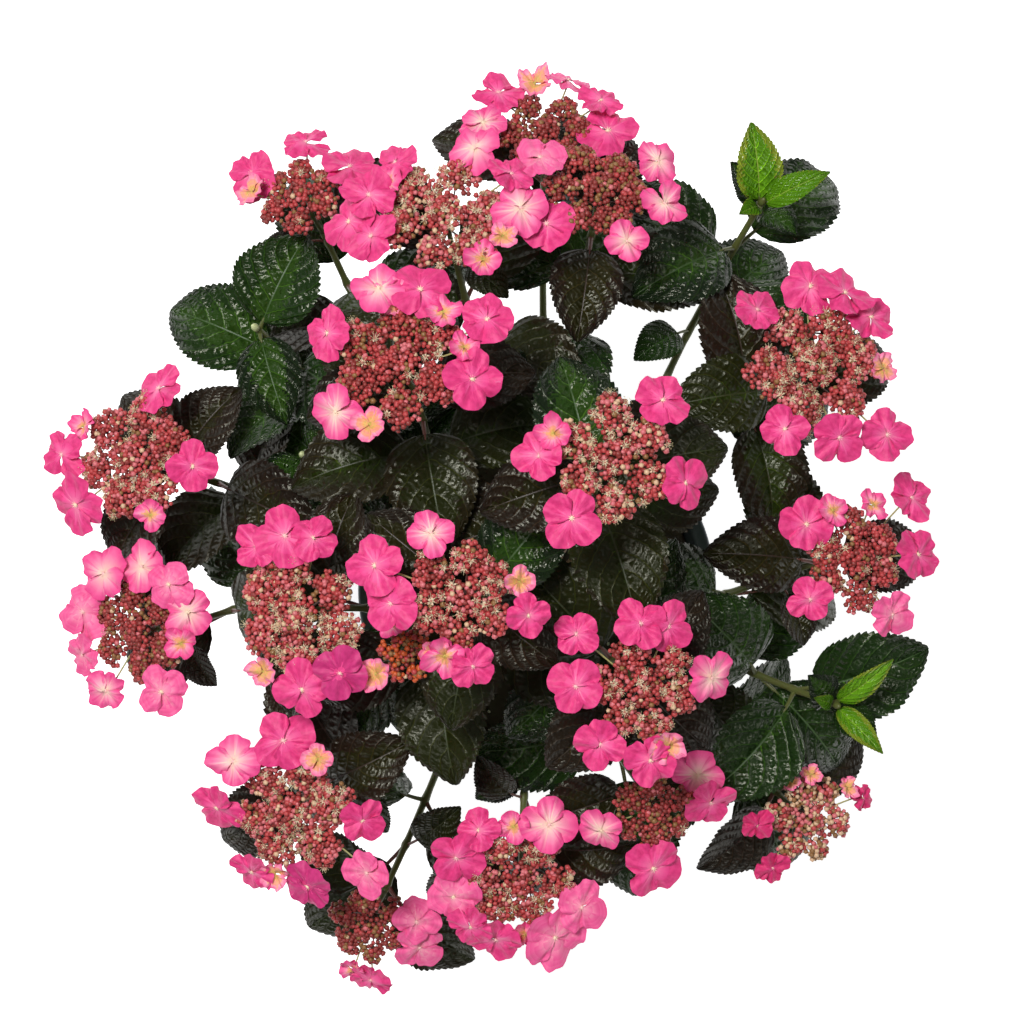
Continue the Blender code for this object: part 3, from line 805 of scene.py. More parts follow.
def bend(start: Array, start_way: Array, end: Array, end_way: Array) -> Array:
    """Points along a limb: straight at both ends and an even bend between.

    Args:
        start: Where the limb starts.
        start_way: The direction in which it leaves.
        end: Where it ends.
        end_way: The direction in which it arrives.

    Returns:
        Its points.
    """
    first = start + start_way * STRAIGHT_RUN
    last = end - end_way * STRAIGHT_RUN
    handle = np.linalg.norm(last - first) * BEND_HANDLE
    leave = first + start_way * handle
    arrive = last - end_way * handle
    inner = [first * (1 - t) ** 3 + leave * 3 * (1 - t) ** 2 * t
             + arrive * 3 * (1 - t) * t * t + last * t ** 3 for t in (1 / 3, 2 / 3)]
    return np.array((start, first, *inner, last, end))


@dataclass
class Shoot:
    """A leafy shoot as it has grown: its plan, its path and the solids it has to follow."""

    plan: ShootPlan
    node: str
    path: Array
    head_node: str | None = None

    PEDUNCLE = 0.050
    CROWN_RADIUS = 0.330
    EDGE_LEAN = math.radians(30)

    @classmethod
    def tip(cls, plan: ShootPlan) -> tuple[Array, Array]:
        """Where a shoot's leafy stem ends, below its flower head, and its direction there.

        Args:
            plan: The shoot's plan.

        Returns:
            The place and the direction.
        """
        top = np.array(plan.top) * MM
        outward = top * (1.0, 1.0, 0.0)
        reach = np.linalg.norm(outward)
        angle = cls.EDGE_LEAN * reach / cls.CROWN_RADIUS
        lean = UP * math.cos(angle) + outward / reach * math.sin(angle)
        return top - lean * (cls.PEDUNCLE if plan.disc else 0.0), lean

    @property
    def middle(self) -> Array:
        """The middle of the flower disc."""
        return np.array(self.plan.top) * MM

    @property
    def lean(self) -> Array:
        """The direction in which the shoot ends."""
        return unit(self.path[-1] - self.path[-2])

    def below_tip(self, drop: float) -> tuple[Array, Array] | None:
        """A point on the stem.

        Args:
            drop: How far below the tip it lies.

        Returns:
            The point and the stem's direction there, or None below the shoot's foot.
        """
        for k in range(len(self.path) - 1, 0, -1):
            step = self.path[k] - self.path[k - 1]
            length = np.linalg.norm(step)
            if drop <= length:
                return self.path[k] - step / length * drop, step / length
            drop -= length
        return None


@dataclass
class Cane:
    """A woody cane as it has grown."""

    node: str
    path: Array
    shoots: list[Shoot]


@dataclass
class Growth:
    """The rule by which canes and shoots grow from the plan."""

    soil_top: float = 0.194
    cane_reach: float = 0.42  # where a cane ends, as a share of the way to its shoots
    cane_rise: float = 0.58
    upturn: float = 0.5
    side_drop: float = 0.016  # how far below a cane's tip its second shoot leaves it
    side_angle: float = math.radians(51)

    def cane_path(self, plan: CanePlan) -> Array:
        """Points along a cane from inside the stock to its tip.

        Args:
            plan: The cane's plan.

        Returns:
            Its points.
        """
        tips = [Shoot.tip(shoot)[0] for shoot in plan.shoots]
        middle = sum(tips) / len(tips)
        foot = UP * (self.soil_top + plan.rise * MM)
        slope = math.radians(plan.slope)
        leave = bearing_vector(plan.bearing) * math.cos(slope) + UP * math.sin(slope)
        end = middle * (self.cane_reach, self.cane_reach, 0.0)
        end = end + UP * (foot[2] + (middle[2] - foot[2]) * self.cane_rise)
        arrive = unit(unit(middle - end) + UP * self.upturn)
        return bend(foot, leave, end, arrive)

    def shoot_path(self, cane: Array, plan: ShootPlan, is_side: bool) -> Array:
        """Points along a leafy shoot: on from the cane's tip, or out of its side.

        Args:
            cane: The cane's points.
            plan: The shoot's plan.
            is_side: Whether it leaves the cane's side.

        Returns:
            Its points.
        """
        tip, lean = Shoot.tip(plan)
        end = cane[-1]
        onward = unit(end - cane[-2])
        if not is_side:
            return bend(end + onward * GAP, onward, tip, lean)
        start = end - onward * self.side_drop
        outward = tip - start
        sideways = unit(outward - onward * outward.dot(onward))
        leave = onward * math.cos(self.side_angle) + sideways * math.sin(self.side_angle)
        return bend(start, leave, tip, lean)

    def canes(self) -> list[Cane]:
        """Grow every cane and its shoots.

        Returns:
            The canes, in the plan's order.
        """
        grown = []
        leafy, flowering = itertools.count(1), itertools.count(1)
        for number, plan in enumerate(PLAN, 1):
            path = self.cane_path(plan)
            shoots = [Shoot(shoot, f"leaves_{next(leafy):02d}",
                            self.shoot_path(path, shoot, order > 0),
                            f"flower_head_{next(flowering):02d}" if shoot.disc else None)
                      for order, shoot in enumerate(plan.shoots)]
            grown.append(Cane(f"cane_{number:02d}", path, shoots))
        return grown


class Solid:
    """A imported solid, asked where its surface is."""

    REACH = 0.0010

    def __init__(self, node: str) -> None:
        """Read the faces of a node."""
        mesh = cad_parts[node].data
        self.tree = BVHTree.FromPolygons([vertex.co for vertex in mesh.vertices],
                                         [tuple(face.vertices) for face in mesh.polygons])

    def touches(self, points: Array, misses: int) -> bool:
        """Whether the surface passes through points, but for a few that it may miss."""
        near = [self.tree.find_nearest(Vector(point), self.REACH)[0] for point in points]
        return near.count(None) <= misses


# -------- leaves
class Foliage(Enum):
    """The kinds of leaf, by age and light."""

    BRONZE = "bronze_leaves"
    OLIVE = "olive_leaves"
    GREEN = "green_leaves"
    YOUNG = "young_leaves"


Part = IntEnum("Part", "BLADE RIM HEART RIB BACK", start=0)  # what differs in finish

LEAF_FINISHES = {
    Foliage.BRONZE: (
        LeafFinish("bronze_blade", (23, 15, 8), (31, 20, 9)),
        LeafFinish("bronze_blade_rim", (16, 10, 7), (26, 17, 8)),
        LeafFinish("bronze_blade_heart", (23, 27, 4), (34, 30, 6)),
        Finish("bronze_rib", (44, 40, 24), (50, 34, 28), 0.45),
        Finish("bronze_back", (92, 74, 70), (104, 88, 76), 0.60),
    ),
    Foliage.OLIVE: (
        LeafFinish("olive_blade", (22, 29, 5), (31, 34, 5)),
        LeafFinish("olive_blade_rim", (23, 18, 6), (30, 25, 6)),
        LeafFinish("olive_blade_heart", (25, 41, 5), (36, 47, 5)),
        Finish("olive_rib", (44, 58, 22), (46, 46, 22), 0.45),
        Finish("olive_back", (88, 98, 70), (102, 102, 78), 0.60),
    ),
    Foliage.GREEN: (
        LeafFinish("green_blade", (18, 40, 14), (28, 49, 12), 0.21, relief=0.0015),
        LeafFinish("green_blade_rim", (14, 28, 17), (22, 35, 14), 0.21, relief=0.0015),
        LeafFinish("green_blade_heart", (30, 58, 17), (43, 68, 17), 0.23, relief=0.0014),
        Finish("green_rib", (46, 74, 34), (58, 82, 36), 0.45),
        Finish("green_back", (92, 118, 78), (108, 132, 90), 0.60),
    ),
    Foliage.YOUNG: (
        LeafFinish("young_blade", (66, 118, 14), (88, 132, 20), 0.22),
        LeafFinish("young_blade_rim", (100, 132, 30), (128, 136, 40), 0.22),
        LeafFinish("young_blade_heart", (84, 142, 18), (104, 150, 26), 0.22),
        Finish("young_rib", (126, 156, 56), (140, 150, 62), 0.45),
        Finish("young_back", (132, 154, 88), (144, 160, 98), 0.60),
    ),
}


@dataclass(frozen=True)
class LeafPose:
    """Where a leaf springs from, its frame, its size and how it arches."""

    root: Array
    forward: Array
    up: Array
    blade: float
    petiole: float
    rise: float
    droop: float
    slim: float = 1.0

    HALF_WIDTH = 0.34  # as a share of the blade's length
    FOLD = math.tan(math.radians(14))
    OUTLINE = ((0.36, 1.0), (0.74, 0.66), (1.0, 0.0))

    @property
    def half_width(self) -> float:
        """The blade's greatest half width."""
        return self.blade * self.HALF_WIDTH * self.slim

    @property
    def across(self) -> Array:
        """The direction from the midrib to one margin."""
        return np.cross(self.up, self.forward)

    def place(self, along: Array, aside: Array, above: Array) -> Array:
        """Points near the leaf's spine.

        Args:
            along: Distances along the petiole and midrib.
            aside: Distances to one side.
            above: Distances above the blade.

        Returns:
            The points, with one more axis than the distances.
        """
        length = self.petiole + self.blade
        turn = self.droop - self.rise
        angle = self.rise + turn * along / length
        level = length * (np.sin(angle) - math.sin(self.rise)) / turn
        height = -length * (np.cos(angle) - math.cos(self.rise)) / turn
        upward = self.up * np.cos(angle)[..., None] - self.forward * np.sin(angle)[..., None]
        return (self.root + self.forward * level[..., None] + self.up * height[..., None]
                + self.across * aside[..., None] + upward * above[..., None])

    def corners(self) -> Array:
        """The corners of the plain solid that stands for this leaf.

        Returns:
            Five points.
        """
        share, width = np.repeat(self.OUTLINE, 2, axis=0)[:5].T
        aside = width * (-1, 1, -1, 1, -1) * self.half_width
        return self.place(self.petiole + self.blade * share, aside, np.abs(aside) * self.FOLD)


@dataclass(frozen=True)
class Leaf:
    """A leaf that has found its place."""

    pose: LeafPose
    kind: Foliage
    seed: str


@dataclass
class LeafRule:
    """How leaves spring from a shoot in crossed pairs."""

    pair_drop: float = 0.008
    internode: float = 0.036
    petiole: float = 0.017
    rise: float = math.radians(42)
    droop: float = math.radians(-34)
    young_size: float = 0.42
    young_rise: float = math.radians(62)
    young_arch: float = math.radians(50)
    tip_share: float = 0.4  # of the drop and the stalk, for leaves at a leafy tip
    pair_sizes: tuple[float, ...] = (0.84, 1.0, 1.02, 0.96)
    upright: float = 0.55
    small_size: float = 0.5
    shrinks: tuple[float, ...] = (1.0, 0.84, 0.70)
    tilts: tuple[float, ...] = (0, 12, -12, 24)
    swings: tuple[float, ...] = (0, 14, -14, 28, -28)
    kinds: tuple[tuple[float, float], ...] = (  # by pair: a bronze leaf's chance, any dark one's
        (0.85, 1.0), (0.40, 0.80), (0.10, 0.50), (0.0, 0.4))

    def facing(self, along: Array) -> Array:
        """Which way a leaf faces on a stem that runs in a direction."""
        return unit(along * (1 - self.upright) + UP * self.upright)

    def poses(self, shoot: Shoot, pair: int, side: int) -> Iterator[LeafPose]:
        """A leaf's poses, the wished-for one first and then turned, tilted and smaller ones.

        Args:
            shoot: The shoot that carries the leaf.
            pair: Its pair, counted down from the tip.
            side: Which of the pair it is.

        Yields:
            The poses.
        """
        plan = shoot.plan
        is_young = not plan.disc and pair == 0
        found = shoot.below_tip(self.pair_drop + pair * self.internode)
        if found is None:
            return
        root, along = found
        dealt = random.Random(f"{shoot.node} {pair} {side}")
        size = self.pair_sizes[pair] * dealt.uniform(0.92, 1.08)
        rise = self.rise + math.radians(dealt.uniform(-8, 8))
        droop = self.droop + math.radians(dealt.uniform(-10, 10))
        if is_young:
            size = self.young_size
            rise = self.young_rise
            droop = self.young_rise - self.young_arch
        first = 0 if plan.disc else -90
        bearing = plan.turn + first + pair * 90 + side * 180 + dealt.uniform(-6, 6)
        up = self.facing(along)
        petiole = self.petiole * (0.5 if is_young else 1.0)
        for shrink, tilt, swing in itertools.product(self.shrinks, self.tilts, self.swings):
            yield LeafPose(root, square_to(up, bearing + swing), up,
                           plan.leaf * MM * size * shrink, petiole,
                           rise + math.radians(tilt), droop + math.radians(tilt))

    def kind(self, shoot: Shoot, pair: int, dealt: random.Random) -> Foliage:
        """The kind of a leaf.

        Args:
            shoot: The shoot that carries it.
            pair: Its pair, counted down from the tip.
            dealt: Where chance comes from.

        Returns:
            Its kind.
        """
        if not shoot.plan.disc:
            return Foliage.GREEN
        bronze, dark = self.kinds[pair]
        draw = dealt.random()
        if draw < bronze:
            return Foliage.BRONZE
        return Foliage.OLIVE if draw < dark else Foliage.GREEN

    def leaves(self, shoot: Shoot) -> list[Leaf]:
        """Every leaf of a shoot: those that its solid has, and those at a leafy tip.

        Args:
            shoot: The shoot.

        Returns:
            The leaves.
        """
        solid = Solid(shoot.node)
        plan = shoot.plan
        found = []
        for pair in range(1 if plan.broad else 0, plan.pairs + (0 if plan.disc else 1)):
            for side in range(2):
                seed = f"{shoot.node} leaf {pair} {side}"
                pose = next((pose for pose in self.poses(shoot, pair, side)
                             if solid.touches(pose.corners(), misses=1)), None)
                if pose and pair * 2 + side in plan.small:
                    pose = replace(pose, blade=pose.blade * self.small_size)
                if pose:
                    found.append(Leaf(pose, self.kind(shoot, pair, random.Random(seed)), seed))
        return (found + self.tip_leaves(shoot, plan.fresh, Foliage.YOUNG)
                + self.tip_leaves(shoot, plan.broad, Foliage.GREEN))

    def tip_leaves(self, shoot: Shoot, sizes: tuple[TipLeaf, ...], kind: Foliage) -> list[Leaf]:
        """The leaves at a leafy tip that have places of their own.

        Args:
            shoot: A leafy shoot.
            sizes: The leaves' measures.
            kind: Their kind.

        Returns:
            The leaves.
        """
        root, along = shoot.below_tip(self.pair_drop * self.tip_share)
        up = self.facing(along)
        found = []
        for number, (size, bearing, rise, slim) in enumerate(sizes):
            pose = LeafPose(root, square_to(up, bearing), up, size * MM,
                            self.petiole * self.tip_share, math.radians(rise),
                            math.radians(rise) - self.young_arch, slim)
            found.append(Leaf(pose, kind, f"{shoot.node} tuft {number}"))
        return found


@dataclass
class LeafBlade:
    """The form of a blade: toothed, with sunk veins and puffed cells between them."""

    rows: int = 60
    columns: int = 24
    back_step: tuple[int, int] = (3, 2)  # rows and columns of the top to one of the back
    half_thickness: float = 0.0004
    puff: float = 0.0017
    tooth: float = 0.028  # half its depth, as a share of the half width
    tooth_shape: tuple[float, ...] = (-1.0, 0.35, 1.0)
    tooth_root: float = 0.88  # where a tooth starts, as a share of the half width
    widening: float = 1.07  # over the plain solid
    crowding: float = 1.55  # how the columns crowd to the midrib
    full_length: float = 0.080  # the length for which the depths hold
    rib_width: float = 0.07  # as a share of the half width
    groove: float = 0.0004  # how deep the midrib lies in the top
    ridge: float = 0.0011  # how far it stands out of the back
    veins: Veins = Veins()

    def outline(self, share: Array) -> Array:
        """The half width at shares of the length, as a share of the greatest."""
        body = np.clip(np.sin(math.pi * share ** 0.78), 0.0, None) ** 0.72
        return body * (1 - 0.30 * share ** 5)

    def relief(self, share: Array, out: Array) -> Array:
        """How far the upper face stands above a smooth blade.

        Args:
            share: Shares of the length.
            out: Shares of the half width.

        Returns:
            Heights in metres.
        """
        phase = self.veins.phase(out, share)
        cell = np.abs(np.sin(math.pi * phase)) ** 0.75
        pillow = 0.80 + 0.20 * np.cos(FULL_TURN * (out * 2.0 + np.floor(phase) * 0.5))
        envelope = np.sin(math.pi * np.clip(share, 0.02, 0.98)) ** 0.5
        near_rib = np.clip(out / 0.22, 0.0, 1.0)
        near_edge = np.clip((1.0 - out) / 0.30, 0.0, 1.0)
        return self.puff * envelope * near_rib * near_edge * cell * pillow

    def sheet(self, leaf: Leaf) -> Shape:
        """The blade's upper and lower faces.

        Args:
            leaf: The leaf.

        Returns:
            The blade.
        """
        dealt = random.Random(leaf.seed)
        pose = leaf.pose
        steps = np.linspace(0.0, 1.0, self.rows + 1)
        sides = np.linspace(-1.0, 1.0, self.columns + 1)
        sides = np.sign(sides) * np.abs(sides) ** self.crowding
        share, side = np.meshgrid(steps, sides, indexing="ij")
        out = np.abs(side)
        size = pose.blade / self.full_length
        marks = np.arange(self.rows + 1) % len(self.tooth_shape)
        tooth = np.array(self.tooth_shape)[marks][:, None]
        bite = self.tooth * np.sin(math.pi * steps)[:, None].clip(0.0) ** 0.4
        edge = np.clip((out - self.tooth_root) / (1 - self.tooth_root), 0.0, 1.0)
        width = pose.half_width * self.widening * self.outline(share)
        aside = width * side * (1 + edge * bite * tooth)
        along = np.clip(share + edge * 0.4 * tooth / self.rows, 0.0, 1.0)
        wave = dealt.uniform(0.03, 0.07) * np.sin(
            FULL_TURN * (share * dealt.uniform(2.0, 3.2) + dealt.random() + 0.35 * np.sign(side)))
        bow = pose.FOLD * (1.22 * out - 0.22 * out ** 2)
        twist = dealt.uniform(-0.10, 0.10) * side * share
        middle = width * (bow + wave * out ** 2.5 + twist)
        slack = 1 - out ** 4
        rib = np.exp(-(out / self.rib_width) ** 2) * (1 - share * 0.75) * size
        upper = middle + self.relief(share, out) * size - self.groove * rib
        lower = middle - self.half_thickness * (slack * 2 + 1.4 * out ** 4) - self.ridge * rib
        distance = pose.petiole + pose.blade * along
        top = pose.place(distance, aside, upper)
        back = pose.place(distance, aside * (1 - 0.03 * out ** 4), lower)
        chart = np.stack((side * 0.5 + 0.5, share), axis=-1)
        down, over = self.back_step
        return Shape.two_faced(top, back[::down, ::over], (chart, chart[::down, ::over]),
                               self.tones(share, out, dealt), Part.BACK)

    def tones(self, share: Array, out: Array, dealt: random.Random) -> Array:
        """The finish of each upper face: the blade, its rim or heart, or the rib.

        Args:
            share: Each point's share of the length.
            out: Each point's share of the half width.
            dealt: Where chance comes from.

        Returns:
            A finish number for each face, by row and column.
        """
        spread = out[:-1, :-1] * 0.5 + out[:-1, 1:] * 0.5 + share[:-1, :-1] * 0.45
        speckle = np.random.default_rng(dealt.randrange(10 ** 6)).normal(0, 0.08, spread.shape)
        heart = dealt.uniform(0.0, 0.85)
        rim = dealt.uniform(0.70, 1.45)
        grid = np.select((spread + speckle < heart, spread + speckle > rim),
                         (Part.HEART, Part.RIM), Part.BLADE)
        middle = self.columns // 2
        grid[:int(self.rows * 0.92), middle - 1:middle + 1] = Part.RIB
        return grid


# -------- stems
Stem = IntEnum("Stem", "GREEN RED PALE TIP", start=0)  # the finishes of the green stems

STEM_FINISHES = tuple(
    Finish(name, colour, drift, roughness, 300, 0.0001, 1200)
    for name, colour, drift, roughness in (
        ("green_stem", (76, 92, 38), (86, 80, 42), 0.48),
        ("red_stem", (104, 48, 44), (96, 62, 46), 0.48),
        ("pale_stem", (150, 158, 96), (166, 150, 98), 0.50),
        ("tip_bud", (206, 212, 164), (190, 200, 142), 0.50),
    ))


@dataclass
class LeafyShoots:
    """The leafy shoots: their stems, leaf stalks and leaves."""

    shoots: list[Shoot]
    rule: LeafRule = field(default_factory=LeafRule)
    blade: LeafBlade = field(default_factory=LeafBlade)
    foot_radius: float = 0.0029
    tip_radius: float = 0.0021
    joint_swell: float = 0.0009  # how far a leaf joint stands out of the stem
    joint_length: float = 0.003
    joints: int = 5
    stem_sides: int = 10
    stem_rings: int = 40
    stalk_radius: float = 0.0015
    stalk_drop: float = 0.0006  # how far a stalk lies under its blade
    stalk_taper: tuple[float, ...] = (1.5, 1.1, 1.0, 0.95, 0.92, 0.85, 0.45)
    bud_profile: tuple[tuple[float, float], ...] = (
        (0, 0.0), (0.0018, 0.0004), (0.0027, 0.003), (0.0024, 0.0055), (0.0012, 0.0078),
        (0, 0.0086))

    def stem(self, shoot: Shoot) -> Shape:
        """A shoot's stem, thicker at its leaf joints.

        Args:
            shoot: The shoot.

        Returns:
            The stem.
        """
        path = resampled(rounded(shoot.path), self.stem_rings)
        share = np.linspace(0.0, 1.0, len(path))
        radii = self.foot_radius + (self.tip_radius - self.foot_radius) * share
        length = np.linalg.norm(np.diff(path, axis=0), axis=1).sum()
        below = length * (1 - share)
        for pair in range(self.joints):
            joint = self.rule.pair_drop + pair * self.rule.internode
            radii = radii + self.joint_swell * np.exp(-((below - joint) / self.joint_length) ** 2)
        return tube(path, radii, self.stem_sides, Stem.GREEN)

    def stalk(self, leaf: Leaf) -> Shape:
        """A leaf's stalk, from the stem to under the blade.

        Args:
            leaf: The leaf.

        Returns:
            The stalk.
        """
        pose = leaf.pose
        rings = len(self.stalk_taper)
        along = np.linspace(0.0, pose.petiole + pose.blade * 0.05, rings)
        path = pose.place(along, np.zeros(rings), np.full(rings, -self.stalk_drop))
        size = min(1.0, pose.blade / 0.06)
        radii = self.stalk_radius * size * np.array(self.stalk_taper)
        is_red = leaf.kind in (Foliage.BRONZE, Foliage.OLIVE)
        return tube(path, radii, 7, Stem.RED if is_red else Stem.GREEN)

    def bud(self, shoot: Shoot) -> Shape:
        """The closed bud at a leafy tip."""
        bud = spindle(self.bud_profile, 8, Stem.GREEN if shoot.plan.fresh else Stem.TIP)
        return bud.moved(shoot.path[-1], facing_frame(shoot.lean))

    def build(self) -> None:
        """Make the pieces: one of stems and leaf stalks, and one of each kind of leaf."""
        stems = []
        blades: dict[Foliage, list[Shape]] = {kind: [] for kind in Foliage}
        for shoot in self.shoots:
            stems.append(self.stem(shoot))
            for leaf in self.rule.leaves(shoot):
                stems.append(self.stalk(leaf))
                blades[leaf.kind].append(self.blade.sheet(leaf))
            if not shoot.plan.disc:
                stems.append(self.bud(shoot))
        pieces = [Shape.joined(stems).build("shoots_and_leaf_stalks", STEM_FINISHES)]
        for kind, shapes in blades.items():
            pieces.append(Shape.joined(shapes).build(kind.value, LEAF_FINISHES[kind]))
        for piece in pieces:
            settle(piece, "foliage", *[shoot.node for shoot in self.shoots])


# -------- flower heads
# The tones of a ray floret: a ramp from its heart out, odd ones, and its back.
Petal = IntEnum("Petal", "CREAM SHELL BLUSH LIGHT ROSE PINK VIVID DEEP MAGENTA PEACH LIME BACK",
                start=0)

PETAL_FINISHES = tuple(
    PetalFinish(f"petal_{name}", colour, drift, 0.58, relief=0.0006, sheen=0.05, bands=bands,
                start=0.0 if bands else 0.5, streaking=0.5 if bands else 1.6)
    for name, bands, colour, drift in (
        ("cream", 6, (245, 216, 188), (244, 190, 186)),
        ("shell", 6, (244, 190, 186), (243, 158, 176)),
        ("blush", 6, (243, 158, 176), (241, 130, 166)),
        ("light", 6, (241, 130, 166), (238, 102, 154)),
        ("rose", 6, (236, 98, 152), (232, 76, 142)),
        ("pink", 6, (232, 76, 142), (226, 56, 130)),
        ("vivid", 0, (236, 64, 136), (198, 28, 102)),
        ("deep", 0, (214, 38, 110), (196, 28, 94)),
        ("magenta", 0, (212, 50, 126), (176, 26, 98)),
        ("peach", 6, (236, 168, 118), (238, 144, 136)),
        ("lime", 6, (198, 176, 86), (232, 160, 104)),
        ("back", 0, (228, 98, 150), (216, 80, 136)),
    ))


class Floret(Enum):
    """The kinds of ray floret: the tones of their sepals, from the heart to the rim."""

    VIVID = (Petal.ROSE, Petal.PINK, *(Petal.VIVID,) * 4)
    PINK = (Petal.LIGHT, Petal.ROSE, Petal.PINK, *(Petal.VIVID,) * 3)
    PALE = (Petal.CREAM, Petal.SHELL, Petal.BLUSH, Petal.LIGHT, Petal.ROSE, Petal.PINK)
    MAGENTA = (Petal.PINK, *(Petal.MAGENTA,) * 5)
    YOUNG = (Petal.LIME, Petal.PEACH, Petal.BLUSH, Petal.LIGHT, Petal.ROSE, Petal.PINK)
    GREENISH = (Petal.LIME, Petal.LIME, Petal.PEACH, Petal.PEACH, Petal.BLUSH, Petal.LIGHT)
    CRIMSON = (Petal.VIVID, *(Petal.DEEP,) * 5)
    SOFT = (Petal.BLUSH, Petal.LIGHT, Petal.LIGHT, *(Petal.ROSE,) * 3)


SOFT_HEADS = (2, 3, 7, 8, 10, 13)  # heads whose florets are paler


